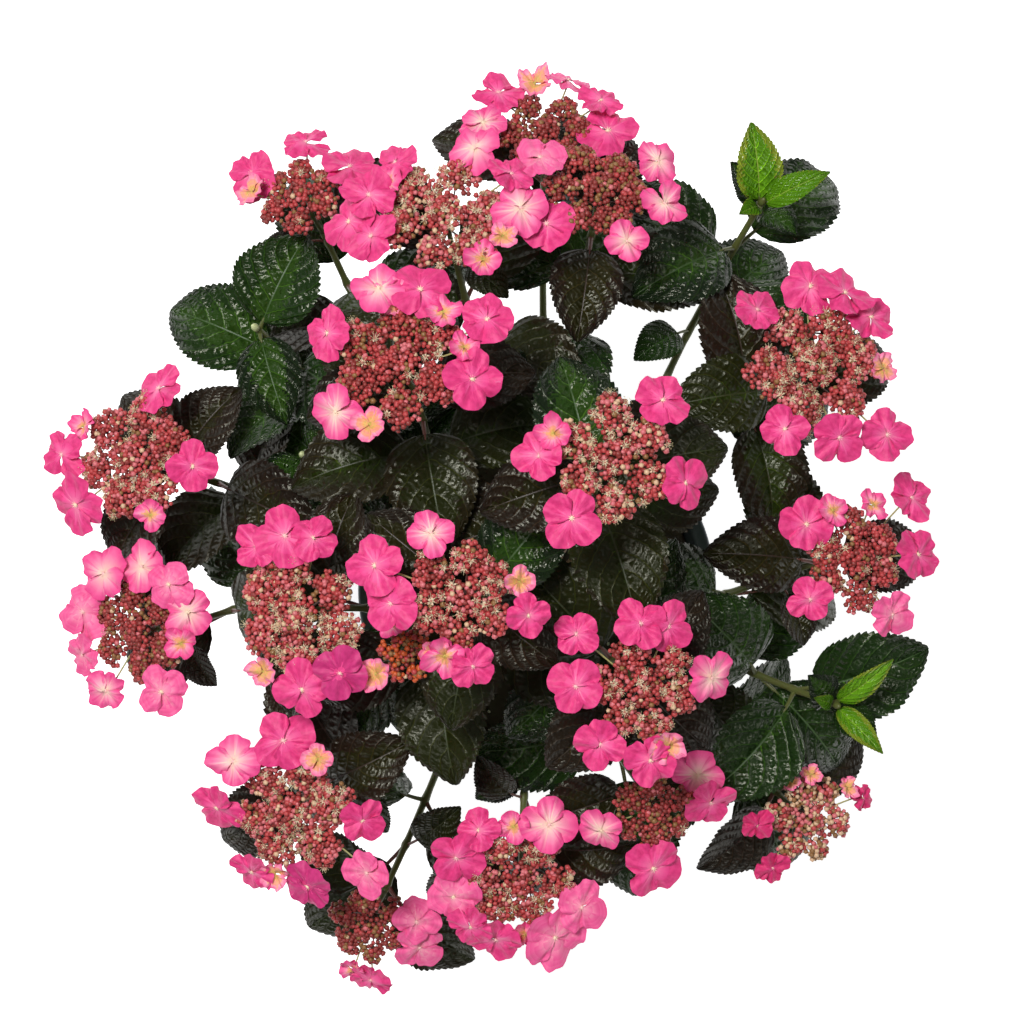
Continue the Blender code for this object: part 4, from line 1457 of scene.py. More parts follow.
@dataclass
class RayFlorets:
    """The large sterile florets in a ring round each disc, each of four broad sepals."""

    shoots: list[Shoot]
    radius: float = 0.0200
    young_radius: float = 0.0115
    young_margin: float = 0.008
    margin: float = 0.014
    far_margin: float = 0.027
    lift: float = 0.004
    lean: float = math.radians(16)
    lifts: tuple[float, ...] = (0.0, 0.004, -0.004, 0.008, -0.008, 0.013, -0.013, 0.018)
    notch: float = 0.76
    stalk_root: float = 0.62
    rows: int = 6
    columns: int = 18
    foot_angle: float = math.radians(62)
    stray_slope: float = 0.17
    sizes: tuple[float, float] = (0.78, 1.05)
    unripe_size: float = 0.62
    fifth_sepal: float = 0.06  # the chance of one
    threads: int = 8
    stalk_radius: float = 0.0006

    def facing(self, shoot: Shoot, bearing: float) -> tuple[Array, Array]:
        """Which way a floret at a bearing lies from the disc, and which way it faces."""
        way = square_to(shoot.lean, bearing)
        return way, unit(shoot.lean * math.cos(self.lean) + way * math.sin(self.lean))

    def find(self, shoot: Shoot, solid: Solid, bearing: float, reach: float
             ) -> tuple[Array, Array, float] | None:
        """Where the solids have a ray floret.

        Args:
            shoot: The shoot.
            solid: Its flower head's solid.
            bearing: The floret's bearing.
            reach: How far its middle is from the disc's.

        Returns:
            Its middle, its frame and its radius, or None where the solids have none.
        """
        dealt = random.Random(f"{shoot.head_node} ray {bearing}")
        radius = self.radius * dealt.uniform(0.90, 1.06)
        way, facing = self.facing(shoot, bearing)
        turned = facing_frame(facing) @ turn_about_up(math.radians(bearing))
        rim = around(np.tile((self.notch, 1.0, 1.0), 4) * radius, turns(12), 0.0)
        for lift in self.lifts:
            middle = shoot.middle + way * reach + shoot.lean * (self.lift + lift)
            if solid.touches(middle + rim @ turned.T, misses=3):
                return middle, turned, radius
        return None

    def sepal(self, radius: float, direction: float, level: float, kind: Floret,
              dealt: random.Random, cup: float) -> Shape:
        """One sepal, in its floret's own frame.

        Args:
            radius: The floret's radius.
            direction: The angle of the sepal's middle.
            level: How high its foot lies.
            kind: The floret's kind.
            dealt: Where chance comes from.
            cup: How far its tip rises, as a share of the radius.

        Returns:
            The sepal.
        """
        length = radius * dealt.uniform(0.92, 1.08)
        half_width = radius * dealt.uniform(0.47, 0.58)
        steps = np.linspace(0.0, 1.0, self.rows + 1) ** 0.9 * 0.96 + 0.04
        angles = np.linspace(self.foot_angle, FULL_TURN - self.foot_angle, self.columns + 1)
        share, turn = np.meshgrid(steps, angles, indexing="ij")
        crimp = (0.014 * np.sin(angles * dealt.uniform(3, 5) + dealt.uniform(0, 6))
                 + 0.010 * np.sin(angles * dealt.uniform(7, 9) + dealt.uniform(0, 6)))
        dent = dealt.uniform(-0.03, 0.03) * np.exp(-((angles - math.pi) / 0.35) ** 2)
        rim = share * (1 + (crimp - dent) * share ** 3)
        side = np.sin(turn) * rim
        reach = (0.5 * (1 - np.cos(turn))) ** 0.86 * rim
        out = length * reach
        aside = half_width * side
        ripple = 0.0013 * np.cos(side * 4.6 + dealt.uniform(0, 6)) * np.sin(math.pi * share)
        ruffle = 0.0012 * np.sin(turn * 6 + dealt.uniform(0, 6)) * share ** 2
        bowl = cup * radius * reach ** 1.6 - dealt.uniform(0.10, 0.30) * radius * side ** 2 * reach
        tilt = aside * dealt.uniform(-0.20, 0.20)
        wave = 0.06 * radius * np.sin(side * 2.4 + dealt.uniform(0, 6)) * reach ** 3
        height = level + ripple + ruffle + bowl + tilt + wave
        swing = direction + dealt.uniform(-0.12, 0.12)
        top = np.stack((out, aside, height), axis=-1) @ turn_about_up(swing).T
        back = top * (0.99, 0.99, 1.0)
        back[..., 2] -= 0.0006 - 0.0003 * share
        band = np.linspace(0.0, 1.0, self.rows + 1)[:, None] + share * 0
        chart = np.stack(((turn - self.foot_angle) / FULL_TURN * 1.5, band), axis=-1)
        streaks = np.array([dealt.choice((-1, *(0,) * 8, 1)) for _ in range(self.columns)])
        place = np.arange(self.rows)[:, None] + streaks * (np.arange(self.rows) > 0)[:, None]
        tones = np.array(kind.value)[np.clip(place, 0, self.rows - 1)]
        return Shape.two_faced(top, back[::2], (chart, chart[::2]), tones, Petal.BACK)

    def floret(self, radius: float, kind: Floret, dealt: random.Random) -> Shape:
        """A whole floret in its own frame.

        Args:
            radius: Its radius.
            kind: Its kind.
            dealt: Where chance comes from.

        Returns:
            Four or five sepals round a small bead with its threads.
        """
        is_young = kind in (Floret.YOUNG, Floret.GREENISH)
        cup = dealt.uniform(0.20, 0.50) if is_young else dealt.uniform(-0.10, 0.12)
        count = 5 if dealt.random() < self.fifth_sepal else 4
        parts = []
        mate = Floret.PINK if kind is Floret.VIVID else kind
        for k in range(count):
            level = (0.0005 if k % 2 else -0.0005) + 0.0002 * k
            direction = FULL_TURN * (k + 0.5) / count
            shade = dealt.choice((kind, kind, mate))
            parts.append(self.sepal(radius, direction, level, shade, dealt, cup))
        tone = Petal.LIME if is_young else dealt.choice((Petal.SHELL, Petal.CREAM))
        bead = spindle(((0, -0.4), (0.8, 0.0), (1.0, 0.5), (0.55, 1.0), (0, 1.15)), 7, tone)
        thread = np.array(((0.4, -0.28, 0.6), (0.4, 0.28, 0.6), (1.9, 0.0, 1.2)))
        heart = Shape.joined([bead] + [spoke(thread, turn, ((0, 1, 2, -1),), tone)
                                       for turn in turns(self.threads)])
        heart.points *= radius * 0.07
        parts.append(heart)
        whole = Shape.joined(parts)
        slope = np.array((dealt.gauss(0, self.stray_slope), dealt.gauss(0, self.stray_slope)))
        whole.points[:, 2] += whole.points[:, :2] @ slope
        return whole

    @staticmethod
    def kind(is_soft: bool, dealt: random.Random) -> Floret:
        """The kind of an open floret, paler round some heads."""
        kinds = (Floret.VIVID, Floret.PINK, Floret.PALE, Floret.MAGENTA, Floret.SOFT)
        shares = (0.12, 0.20, 0.32, 0.02, 0.34) if is_soft else (0.46, 0.30, 0.14, 0.07, 0.03)
        return dealt.choices(kinds, shares)[0]

    def stalk(self, shoot: Shoot, bearing: float, middle: Array) -> Shape:
        """A floret's stalk.

        Args:
            shoot: The shoot.
            bearing: The floret's bearing.
            middle: Its middle.

        Returns:
            The stalk.
        """
        way, facing = self.facing(shoot, bearing)
        root = shoot.middle + way * shoot.plan.disc * MM * self.stalk_root - shoot.lean * 0.004
        low = middle - facing * 0.006 - way * 0.002
        path = rounded(np.array((root, low, middle - facing * 0.0004)))
        return tube(path, np.full(len(path), self.stalk_radius), 5, Stem.PALE)

    def grown(self, shoot: Shoot, is_soft: bool, is_unripe: bool
              ) -> Iterator[tuple[Shape, Shape]]:
        """A head's ray florets: the open ones that its solid has, and then the young ones.

        Args:
            shoot: The shoot.
            is_soft: Whether the head's florets are paler.
            is_unripe: Whether they are still small and dark.

        Yields:
            Each floret and its stalk.
        """
        plan = shoot.plan
        solid = Solid(shoot.head_node)
        disc = plan.disc * MM
        scale = self.unripe_size if is_unripe else 1.0
        rings = ((plan.rays, disc + self.margin), (plan.far, disc + self.far_margin))
        for bearing, reach in [(bearing, reach) for ring, reach in rings for bearing in ring]:
            found = self.find(shoot, solid, bearing, reach)
            if found is None:
                LOG.warning("%s has no ray floret at %g", shoot.head_node, bearing)
                continue
            middle, turned, radius = found
            dealt = random.Random(f"{shoot.head_node} sepals {bearing}")
            radius *= dealt.uniform(*self.sizes)
            kind = self.kind(is_soft, dealt)
            shape = self.floret(radius * scale, Floret.CRIMSON if is_unripe else kind, dealt)
            yield shape.moved(middle, turned), self.stalk(shoot, bearing, middle)
        for bearing in plan.young:
            dealt = random.Random(f"{shoot.head_node} young {bearing}")
            way, facing = self.facing(shoot, bearing)
            middle = (shoot.middle + way * (disc + self.young_margin)
                      + shoot.lean * (self.lift + dealt.uniform(-0.002, 0.003)))
            kind = Floret.YOUNG if dealt.random() < 0.6 else Floret.GREENISH
            radius = self.young_radius * dealt.uniform(0.85, 1.15) * scale
            shape = self.floret(radius, Floret.GREENISH if is_unripe else kind, dealt)
            turned = spread_frames(facing[None], np.array((dealt.uniform(0, 6),)))[0]
            yield shape.moved(middle, turned), self.stalk(shoot, bearing, middle)

    def build(self) -> list[Shape]:
        """Make the florets.

        Returns:
            Their stalks, for the piece of flower stalks.
        """
        made = []
        for number, shoot in enumerate(self.shoots):
            made += self.grown(shoot, number in SOFT_HEADS, HEAD_STAGES[number] is Stage.STRAW)
        LOG.info("ray florets: %d", len(made))
        florets, stalks = zip(*made)
        piece = Shape.joined(florets).build("ray_florets", PETAL_FINISHES)
        settle(piece, "blossom", *[shoot.head_node for shoot in self.shoots])
        return list(stalks)


# The tones of the small fertile flowers.
Bud = IntEnum("Bud", "WINE CORAL ROSE CREAM OLIVE ORANGE", start=0)

BUD_FINISHES = tuple(
    Finish(f"bud_{name}", colour, drift, 0.48, 500, 0.0001, 1500) for name, colour, drift in (
        ("wine", (126, 44, 42), (144, 54, 48)),
        ("coral", (172, 56, 60), (186, 72, 70)),
        ("rose", (202, 98, 108), (212, 120, 122)),
        ("cream", (218, 192, 152), (206, 160, 132)),
        ("olive", (130, 92, 54), (146, 104, 60)),
        ("orange", (184, 70, 30), (196, 92, 40)),
    ))

Star = IntEnum("Star", "PETAL THREAD ANTHER HEART", start=0)  # the parts of an open flower

STAR_FINISHES = tuple(
    Finish(f"star_{name}", colour, drift, 0.60, 500, 0.0001, 1500) for name, colour, drift in (
        ("petal", (222, 190, 160), (228, 204, 176)),
        ("thread", (230, 220, 186), (220, 202, 168)),
        ("anther", (224, 216, 166), (212, 200, 146)),
        ("heart", (176, 96, 92), (190, 120, 104)),
    ))


class Stage(Enum):
    """The stages of a disc: its shares of each Bud tone, and of sprigs with an open flower."""

    TIGHT = ((0.60, 0.18, 0.02, 0.01, 0.19, 0.0), 0.02)
    COLOURED = ((0.40, 0.42, 0.08, 0.02, 0.08, 0.0), 0.13)
    OPENING = ((0.30, 0.42, 0.19, 0.04, 0.05, 0.0), 0.38)
    FULL = ((0.26, 0.38, 0.22, 0.08, 0.06, 0.0), 0.56)
    FIERY = ((0.18, 0.20, 0.0, 0.02, 0.20, 0.40), 0.0)
    STRAW = ((0.05, 0.22, 0.20, 0.26, 0.27, 0.0), 0.15)


HEAD_STAGES = (
    Stage.COLOURED, Stage.FULL, Stage.TIGHT, Stage.TIGHT, Stage.OPENING,
    Stage.COLOURED, Stage.STRAW, Stage.TIGHT, Stage.OPENING, Stage.FULL,
    Stage.TIGHT, Stage.FULL, Stage.FIERY, Stage.TIGHT, Stage.OPENING,
    Stage.COLOURED, Stage.FULL, Stage.OPENING, Stage.OPENING,
)


@dataclass
class FlowerDiscs:
    """The discs of small flowers: clusters of sprigs of buds, on forked stalks."""

    shoots: list[Shoot]
    knots: int = 6
    cluster_radius: float = 0.445  # as a share of the disc's
    cluster_reach: float = 0.81
    fork_depth: float = 0.020
    crown: float = 0.20  # height of the disc's middle, as a share of its radius
    fall: float = 0.13
    sprig_spacing: float = 0.0069
    sprig_buds: int = 7
    sprig_radius: float = 0.0039
    bud_length: float = 0.0037
    bud_sizes: tuple[float, float] = (0.88, 1.24)
    star_radius: tuple[float, float] = (0.0024, 0.0031)
    star_lift: float = 0.0022
    foot_drop: float = 0.0045  # how far below a sprig its stalks part
    branch_radius: float = 0.0008
    twig_radius: float = 0.0004
    twig_length: float = 0.006  # what is longer is a branch
    peduncle_radius: float = 0.0019

    def clusters(self, disc: float, dealt: np.random.Generator) -> list[tuple[Array, float]]:
        """The middle and radius of each cluster, in the disc's own frame.

        Args:
            disc: The disc's radius.
            dealt: Where chance comes from.

        Returns:
            Middles and radii in metres.
        """
        found = [(np.array((0.0, 0.0, self.crown * disc)), self.cluster_radius * disc)]
        for k in range(self.knots):
            angle = k * FULL_TURN / self.knots + dealt.normal(0, 0.06)
            reach = self.cluster_reach * disc * dealt.uniform(0.94, 1.06)
            height = (self.crown - self.fall * self.cluster_reach) * disc + dealt.normal(0, 0.001)
            radius = self.cluster_radius * disc * dealt.uniform(0.86, 1.08)
            found.append((around(reach, angle, height), radius))
        return found

    @staticmethod
    def dome(count: int, radius: float, fall: float, dealt: np.random.Generator) -> Array:
        """Places over a low dome, spaced as in a sunflower.

        Args:
            count: How many places there are.
            radius: The dome's radius.
            fall: How far its rim lies below its top.
            dealt: Where chance comes from.

        Returns:
            One place a row, from the top out.
        """
        order = np.arange(count) + 0.3
        reach = radius * np.sqrt(order / count)
        angle = order * GOLDEN_ANGLE + dealt.uniform(0, FULL_TURN)
        places = around(reach, angle, -fall * (reach / radius) ** 2)
        return places + dealt.normal(0, radius * 0.035, places.shape)

    def head(self, shoot: Shoot, opened_share: float, dealt: np.random.Generator
             ) -> tuple[Array, Array, Array, Array, Array, Array]:
        """Every bud, open flower and twig of a head, in the disc's own frame.

        Args:
            shoot: The shoot.
            opened_share: The share of its sprigs that have an open flower.
            dealt: Where chance comes from.

        Returns:
            Buds' places and directions, stars' places and directions, and twigs' ends.
        """
        fork = np.array((0.0, 0.0, -self.fork_depth))
        buds, bud_ways, stars, star_ways, starts, ends = [], [], [], [], [], []
        for middle, radius in self.clusters(shoot.plan.disc * MM, dealt):
            hub = middle * (0.85, 0.85, 1.0) - (0.0, 0.0, radius * 0.8)
            count = max(3, round((radius * 2 / self.sprig_spacing) ** 2 * 0.78))
            is_open = dealt.random(count) < opened_share * dealt.uniform(0.4, 1.6)
            starts.append(fork)
            ends.append(hub)
            sprigs = middle + self.dome(count, radius * 0.92, radius * 0.34, dealt)
            for sprig, opened in zip(sprigs, is_open):
                way = unit(sprig - hub + (0.0, 0.0, radius * 0.5))
                foot = sprig - way * self.foot_drop
                starts.append(hub)
                ends.append(foot)
                local = self.dome(self.sprig_buds, self.sprig_radius, 0.0013, dealt)
                turned = facing_frame(way)
                places = sprig - way * self.bud_length * 0.5 + local @ turned.T
                ways = unit(places - foot + way * 0.004)
                if opened:
                    stars.append(places[0] + way * self.star_lift)
                    star_ways.append(way)
                    places, ways = places[1:], ways[1:]
                buds.append(places)
                bud_ways.append(ways)
                starts += [foot] * len(places)
                ends += list(places + ways * 0.0002)
        return (np.vstack(buds), np.vstack(bud_ways), np.array(stars).reshape(-1, 3),
                np.array(star_ways).reshape(-1, 3), np.array(starts), np.array(ends))

    def star(self) -> Shape:
        """One open flower: five swept-back petals, twelve stamens and a heart.

        Returns:
            The flower, a unit across its petals' length.
        """
        petal = np.array(((0.10, 0, 0.0), (0.62, -0.26, 0.02), (1.05, 0, -0.16),
                          (0.62, 0.26, 0.02)))
        parts = [spoke(petal, turn, ((0, 1, 2, 3),), Star.PETAL) for turn in turns(5)]
        for k, turn in enumerate(turns(12) + 0.2):
            lean = 1.10 if k % 2 else 0.60
            tip = np.array((math.sin(lean) * 1.55, 0.0, math.cos(lean) * 1.55 + 0.05))
            thread = np.array(((0.08, -0.10, 0.1), (0.08, 0.10, 0.1), tip))
            parts.append(spoke(thread, turn, ((0, 1, 2, -1),), Star.THREAD))
            anther = tip + np.array(((0.14, 0, -0.1), (-0.08, 0.13, -0.1), (-0.08, -0.13, -0.1),
                                     (0, 0, 0.16)))
            faces = ((0, 1, 3, -1), (1, 2, 3, -1), (2, 0, 3, -1), (2, 1, 0, -1))
            parts.append(spoke(anther, turn, faces, Star.ANTHER))
        heart = spindle(((0, -0.2), (0.30, 0.0), (0.20, 0.42), (0, 0.5)), 5, Star.HEART)
        return Shape.joined((*parts, heart))

    def build(self, ray_stalks: list[Shape]) -> None:
        """Make the buds, the open flowers and the stalks.

        Args:
            ray_stalks: The ray florets' own stalks.
        """
        bud = spindle(((0, 0.0), (0.38, 0.22), (0.48, 0.66), (0, 1.0)), 5)
        star = self.star()
        buds, stars, stalks = [], [], list(ray_stalks)
        for number, shoot in enumerate(self.shoots):
            shares, opened_share = HEAD_STAGES[number].value
            dealt = np.random.default_rng(number + 11)
            turned = facing_frame(shoot.lean)
            made = self.head(shoot, opened_share, dealt)
            places, stars_at, starts, ends = (shoot.middle + made[k] @ turned.T
                                              for k in (0, 2, 4, 5))
            count = len(places)
            frames = spread_frames(made[1] @ turned.T, dealt.uniform(0, FULL_TURN, count))
            sizes = self.bud_length * dealt.uniform(*self.bud_sizes, count)
            tones = dealt.choice(len(Bud), count, p=np.array(shares) / sum(shares))
            buds.append(bud.scattered(places, frames, sizes, tones))
            if len(stars_at):
                count = len(stars_at)
                frames = spread_frames(made[3] @ turned.T, dealt.uniform(0, FULL_TURN, count))
                sizes = dealt.uniform(*self.star_radius, count)
                stars.append(star.scattered(stars_at, frames, sizes))
            is_branch = np.linalg.norm(ends - starts, axis=1) > self.twig_length
            thick = np.where(is_branch, self.branch_radius, self.twig_radius)
            stalks.append(twigs(starts, ends, thick, thick * 0.8,
                                np.full(len(starts), Stem.RED)))
            stalks.append(self.peduncle(shoot))
        for piece in (Shape.joined(buds).build("flower_buds", BUD_FINISHES),
                      Shape.joined(stars).build("open_flowers", STAR_FINISHES),
                      Shape.joined(stalks).build("flower_stalks", STEM_FINISHES)):
            settle(piece, "blossom", *[shoot.head_node for shoot in self.shoots])

    def peduncle(self, shoot: Shoot) -> Shape:
        """The stalk under a head, from the leafy shoot's tip to the fork.

        Args:
            shoot: The shoot.

        Returns:
            The stalk.
        """
        foot = shoot.path[-1] + shoot.lean * GAP
        fork = shoot.middle - shoot.lean * (self.fork_depth - 0.001)
        path = resampled(np.array((foot, fork)), 5)
        radii = self.peduncle_radius * np.array((1.0, 0.92, 0.88, 0.88, 1.0))
        return tube(path, radii, 9, Stem.GREEN)


# -------- wood
BARK = BarkFinish("bark", (128, 104, 78), (74, 56, 42), 0.82, 420, 0.0005, 900)
SCAR_SPACING = 0.042  # of the leaf-scar rings along a limb
SCAR_WIDTH = 0.0022


def bark_relief(path: Array, sides: int, depth: float, seed: int) -> Array:
    """Long flakes, ridges and leaf-scar rings.

    Args:
        path: The limb's points.
        sides: How many sides it has.
        depth: How deep the bark is, in metres.
        seed: Where chance starts.

    Returns:
        What is added to the radius, a row for each point.
    """
    dealt = np.random.default_rng(seed)
    rows = len(path)
    steps = np.linalg.norm(np.diff(path, axis=0, prepend=path[:1]), axis=1).cumsum()[:, None]
    angle = turns(sides)[None]
    relief = np.zeros((rows, sides))
    for _ in range(5):
        wave = dealt.uniform(20, 90)
        lobes = dealt.integers(2, 7)
        relief += np.sin(angle * lobes + steps * wave + dealt.uniform(0, FULL_TURN)) * 0.22
    relief += dealt.normal(0, 0.35, (rows, sides))
    scars = np.exp(-((steps % SCAR_SPACING - SCAR_SPACING / 2) / SCAR_WIDTH) ** 2)
    return depth * (relief + scars * 2.2)


@dataclass
class Canes:
    """The canes, each a tapering limb with bark."""

    canes: list[Cane]
    foot_radius: float = 0.0042
    tip_radius: float = 0.0032
    sides: int = 18
    step: float = 0.0032
    relief: float = 0.00022

    def build(self) -> None:
        """Make a piece for each cane."""
        for number, cane in enumerate(self.canes):
            path = rounded(cane.path, 3)
            length = np.linalg.norm(np.diff(path, axis=0), axis=1).sum()
            path = resampled(path, int(length / self.step))
            radii = np.linspace(self.foot_radius, self.tip_radius, len(path))
            relief = bark_relief(path, self.sides, self.relief, number)
            piece = tube(path, radii, self.sides, 0, relief).build(f"{cane.node}_bark", (BARK,))
            settle(piece, "bark", cane.node)


@dataclass
class Stock:
    """The short woody stock from which every cane springs."""

    foot: float = 0.1943
    height: float = 0.044
    radius: float = 0.0165
    flare_radius: float = 0.027
    sides: int = 56
    rings: int = 44
    relief: float = 0.0004
    roots: int = 5
    root_depth: float = 0.0022
    profile: tuple[Place, ...] = (  # share of the radius, rise, flare
        (1.0, 0.0, 1.0), (1.0, 0.04, 0.72), (1.0, 0.12, 0.4), (0.97, 0.20, 0.12),
        (0.95, 0.30, 0.0), (0.98, 0.42, 0.0), (1.0, 0.55, 0.0), (0.95, 0.68, 0.0),
        (0.82, 0.82, 0.0), (0.74, 0.90, 0.0), (0.62, 0.95, 0.0), (0.42, 0.985, 0.0),
        (0.2, 1.0, 0.0))

    def build(self) -> None:
        """Make the stock."""
        marks = np.linspace(0, len(self.profile) - 1, self.rings)
        known = np.arange(len(self.profile))
        share, rise, flare = (np.interp(marks, known, [row[k] for row in self.profile])
                              for k in range(3))
        radii = (self.radius + flare * (self.flare_radius - self.radius)) * share
        path = np.stack((rise * 0, rise * 0, self.foot + self.height * rise), axis=1)
        relief = bark_relief(path, self.sides, self.relief, 77)
        roots = np.cos(turns(self.sides) * self.roots + 0.6) * self.root_depth * flare[:, None]
        shape = tube(path + np.array((1e-6, 0, 0)) * marks[:, None], radii, self.sides, 0,
                     (relief + roots) * np.clip(radii / self.radius, 0.0, 1.0)[:, None])
        piece = shape.build("stock_bark", (BARK,))
        settle(piece, "bark", "stock")


# -------- pot and compost
@dataclass
class Pot:
    """The nursery pot: a thin tapered wall under a rolled lip, with drain holes."""

    rim_radius: float = 0.130
    base_radius: float = 0.097
    height: float = 0.220
    wall: float = 0.002
    floor: float = 0.003
    lip_width: float = 0.009
    lip_drop: float = 0.016
    roll: float = 0.003  # the radius of the lip's two edges
    corner: float = 0.003  # and of the foot's
    sides: int = 128
    drains: int = 6
    drain_radius: float = 0.007
    drain_ring: float = 0.074
    finish: Finish = PlasticFinish("pot_plastic", (50, 62, 70), (92, 96, 94), 0.40, 14, 0.00012,
                                   1400)

    def wall_radius(self, height: float) -> float:
        """The outside radius of the wall at a height."""
        top = self.rim_radius - self.lip_width
        return self.base_radius + (top - self.base_radius) * height / self.height

    @staticmethod
    def arc(middle: tuple[float, float], radius: float, start: float, end: float,
            steps: int = 5) -> list[tuple[float, float]]:
        """Points of the profile round a corner, from one angle in degrees to another."""
        angles = np.radians(np.linspace(start, end, steps + 1))
        return list(zip(middle[0] + radius * np.cos(angles), middle[1] + radius * np.sin(angles)))

    def profile(self) -> list[tuple[float, float]]:
        """The pot's section: up the inside, over the lip, down the outside and under the foot.

        Returns:
            Its points, as radius and height.
        """
        roll, corner, wall, rim = self.roll, self.corner, self.wall, self.rim_radius
        lip_inside = rim - self.lip_width - wall
        lip_foot = self.height - self.lip_drop
        points = [(0.001, self.floor), (0.05, self.floor), (0.092, self.floor)]
        points += self.arc((self.wall_radius(self.floor) - wall - corner, self.floor + corner),
                           corner, -90, 0, 3)
        points += [(self.wall_radius(z) - wall, z) for z in (0.05, 0.10, 0.15, 0.195)]
        points += self.arc((lip_inside + roll, self.height - roll), roll, 180, 90)
        points += self.arc((rim - roll, self.height - roll), roll, 90, 0)
        points += [(rim, self.height - 0.008), (rim, lip_foot + 0.001)]
        points += self.arc((rim - 0.001, lip_foot + 0.001), 0.001, 0, -90, 3)
        points += [(rim - wall, lip_foot), (rim - wall - 0.001, lip_foot + 0.002)]
        points += self.arc((self.wall_radius(lip_foot) + 0.0015, lip_foot + 0.0015), 0.0015,
                           90, 180, 3)
        points += [(self.wall_radius(z), z) for z in (0.16, 0.12, 0.08, 0.04, 0.0035)]
        points += self.arc((self.base_radius - corner, corner), corner, 0, -90, 4)
        points += [(0.088, 0.0), (0.045, 0.0), (0.001, 0.0)]
        return points

    def build(self) -> None:
        """Make the pot and cut its drain holes."""
        profile = np.array(self.profile())
        points = around(profile[:, :1], turns(self.sides), profile[:, 1:])
        faces = grid_faces(len(profile), self.sides, flip=True, closed=True)
        middle = grid_faces(2, self.sides, flip=True, closed=True)
        last = (len(profile) - 1) * self.sides
        middle = np.where(middle < self.sides, middle + last, middle - self.sides)
        faces = np.vstack((faces, middle))
        shape = Shape(points.reshape(-1, 3), faces, np.zeros(len(faces), int))
        piece = shape.build("pot_moulding", (self.finish,))
        self.drill(piece)
        settle(piece, "pot", "pot")

    def drill(self, piece: bpy.types.Object) -> None:
        """Cut the drain holes through the floor.

        Args:
            piece: The pot.
        """
        holes = []
        for k in range(self.drains):
            foot = bearing_vector(k * 360 / self.drains) * self.drain_ring
            path = np.array((foot - UP * 0.004, foot + UP * 0.008))
            holes.append(tube(path, np.full(2, self.drain_radius), 24))
        cutter = Shape.joined(holes).build("drain_cutter", (self.finish,))
        cut = piece.modifiers.new("drains", "BOOLEAN")
        cut.operation = "DIFFERENCE"
        cut.object = cutter
        graph = bpy.context.evaluated_depsgraph_get()
        mesh = bpy.data.meshes.new_from_object(piece.evaluated_get(graph))
        piece.modifiers.clear()
        piece.data = mesh
        bpy.data.objects.remove(cutter)


Ground = IntEnum("Ground", "COMPOST CRUMB PERLITE DRY_LEAF", start=0)


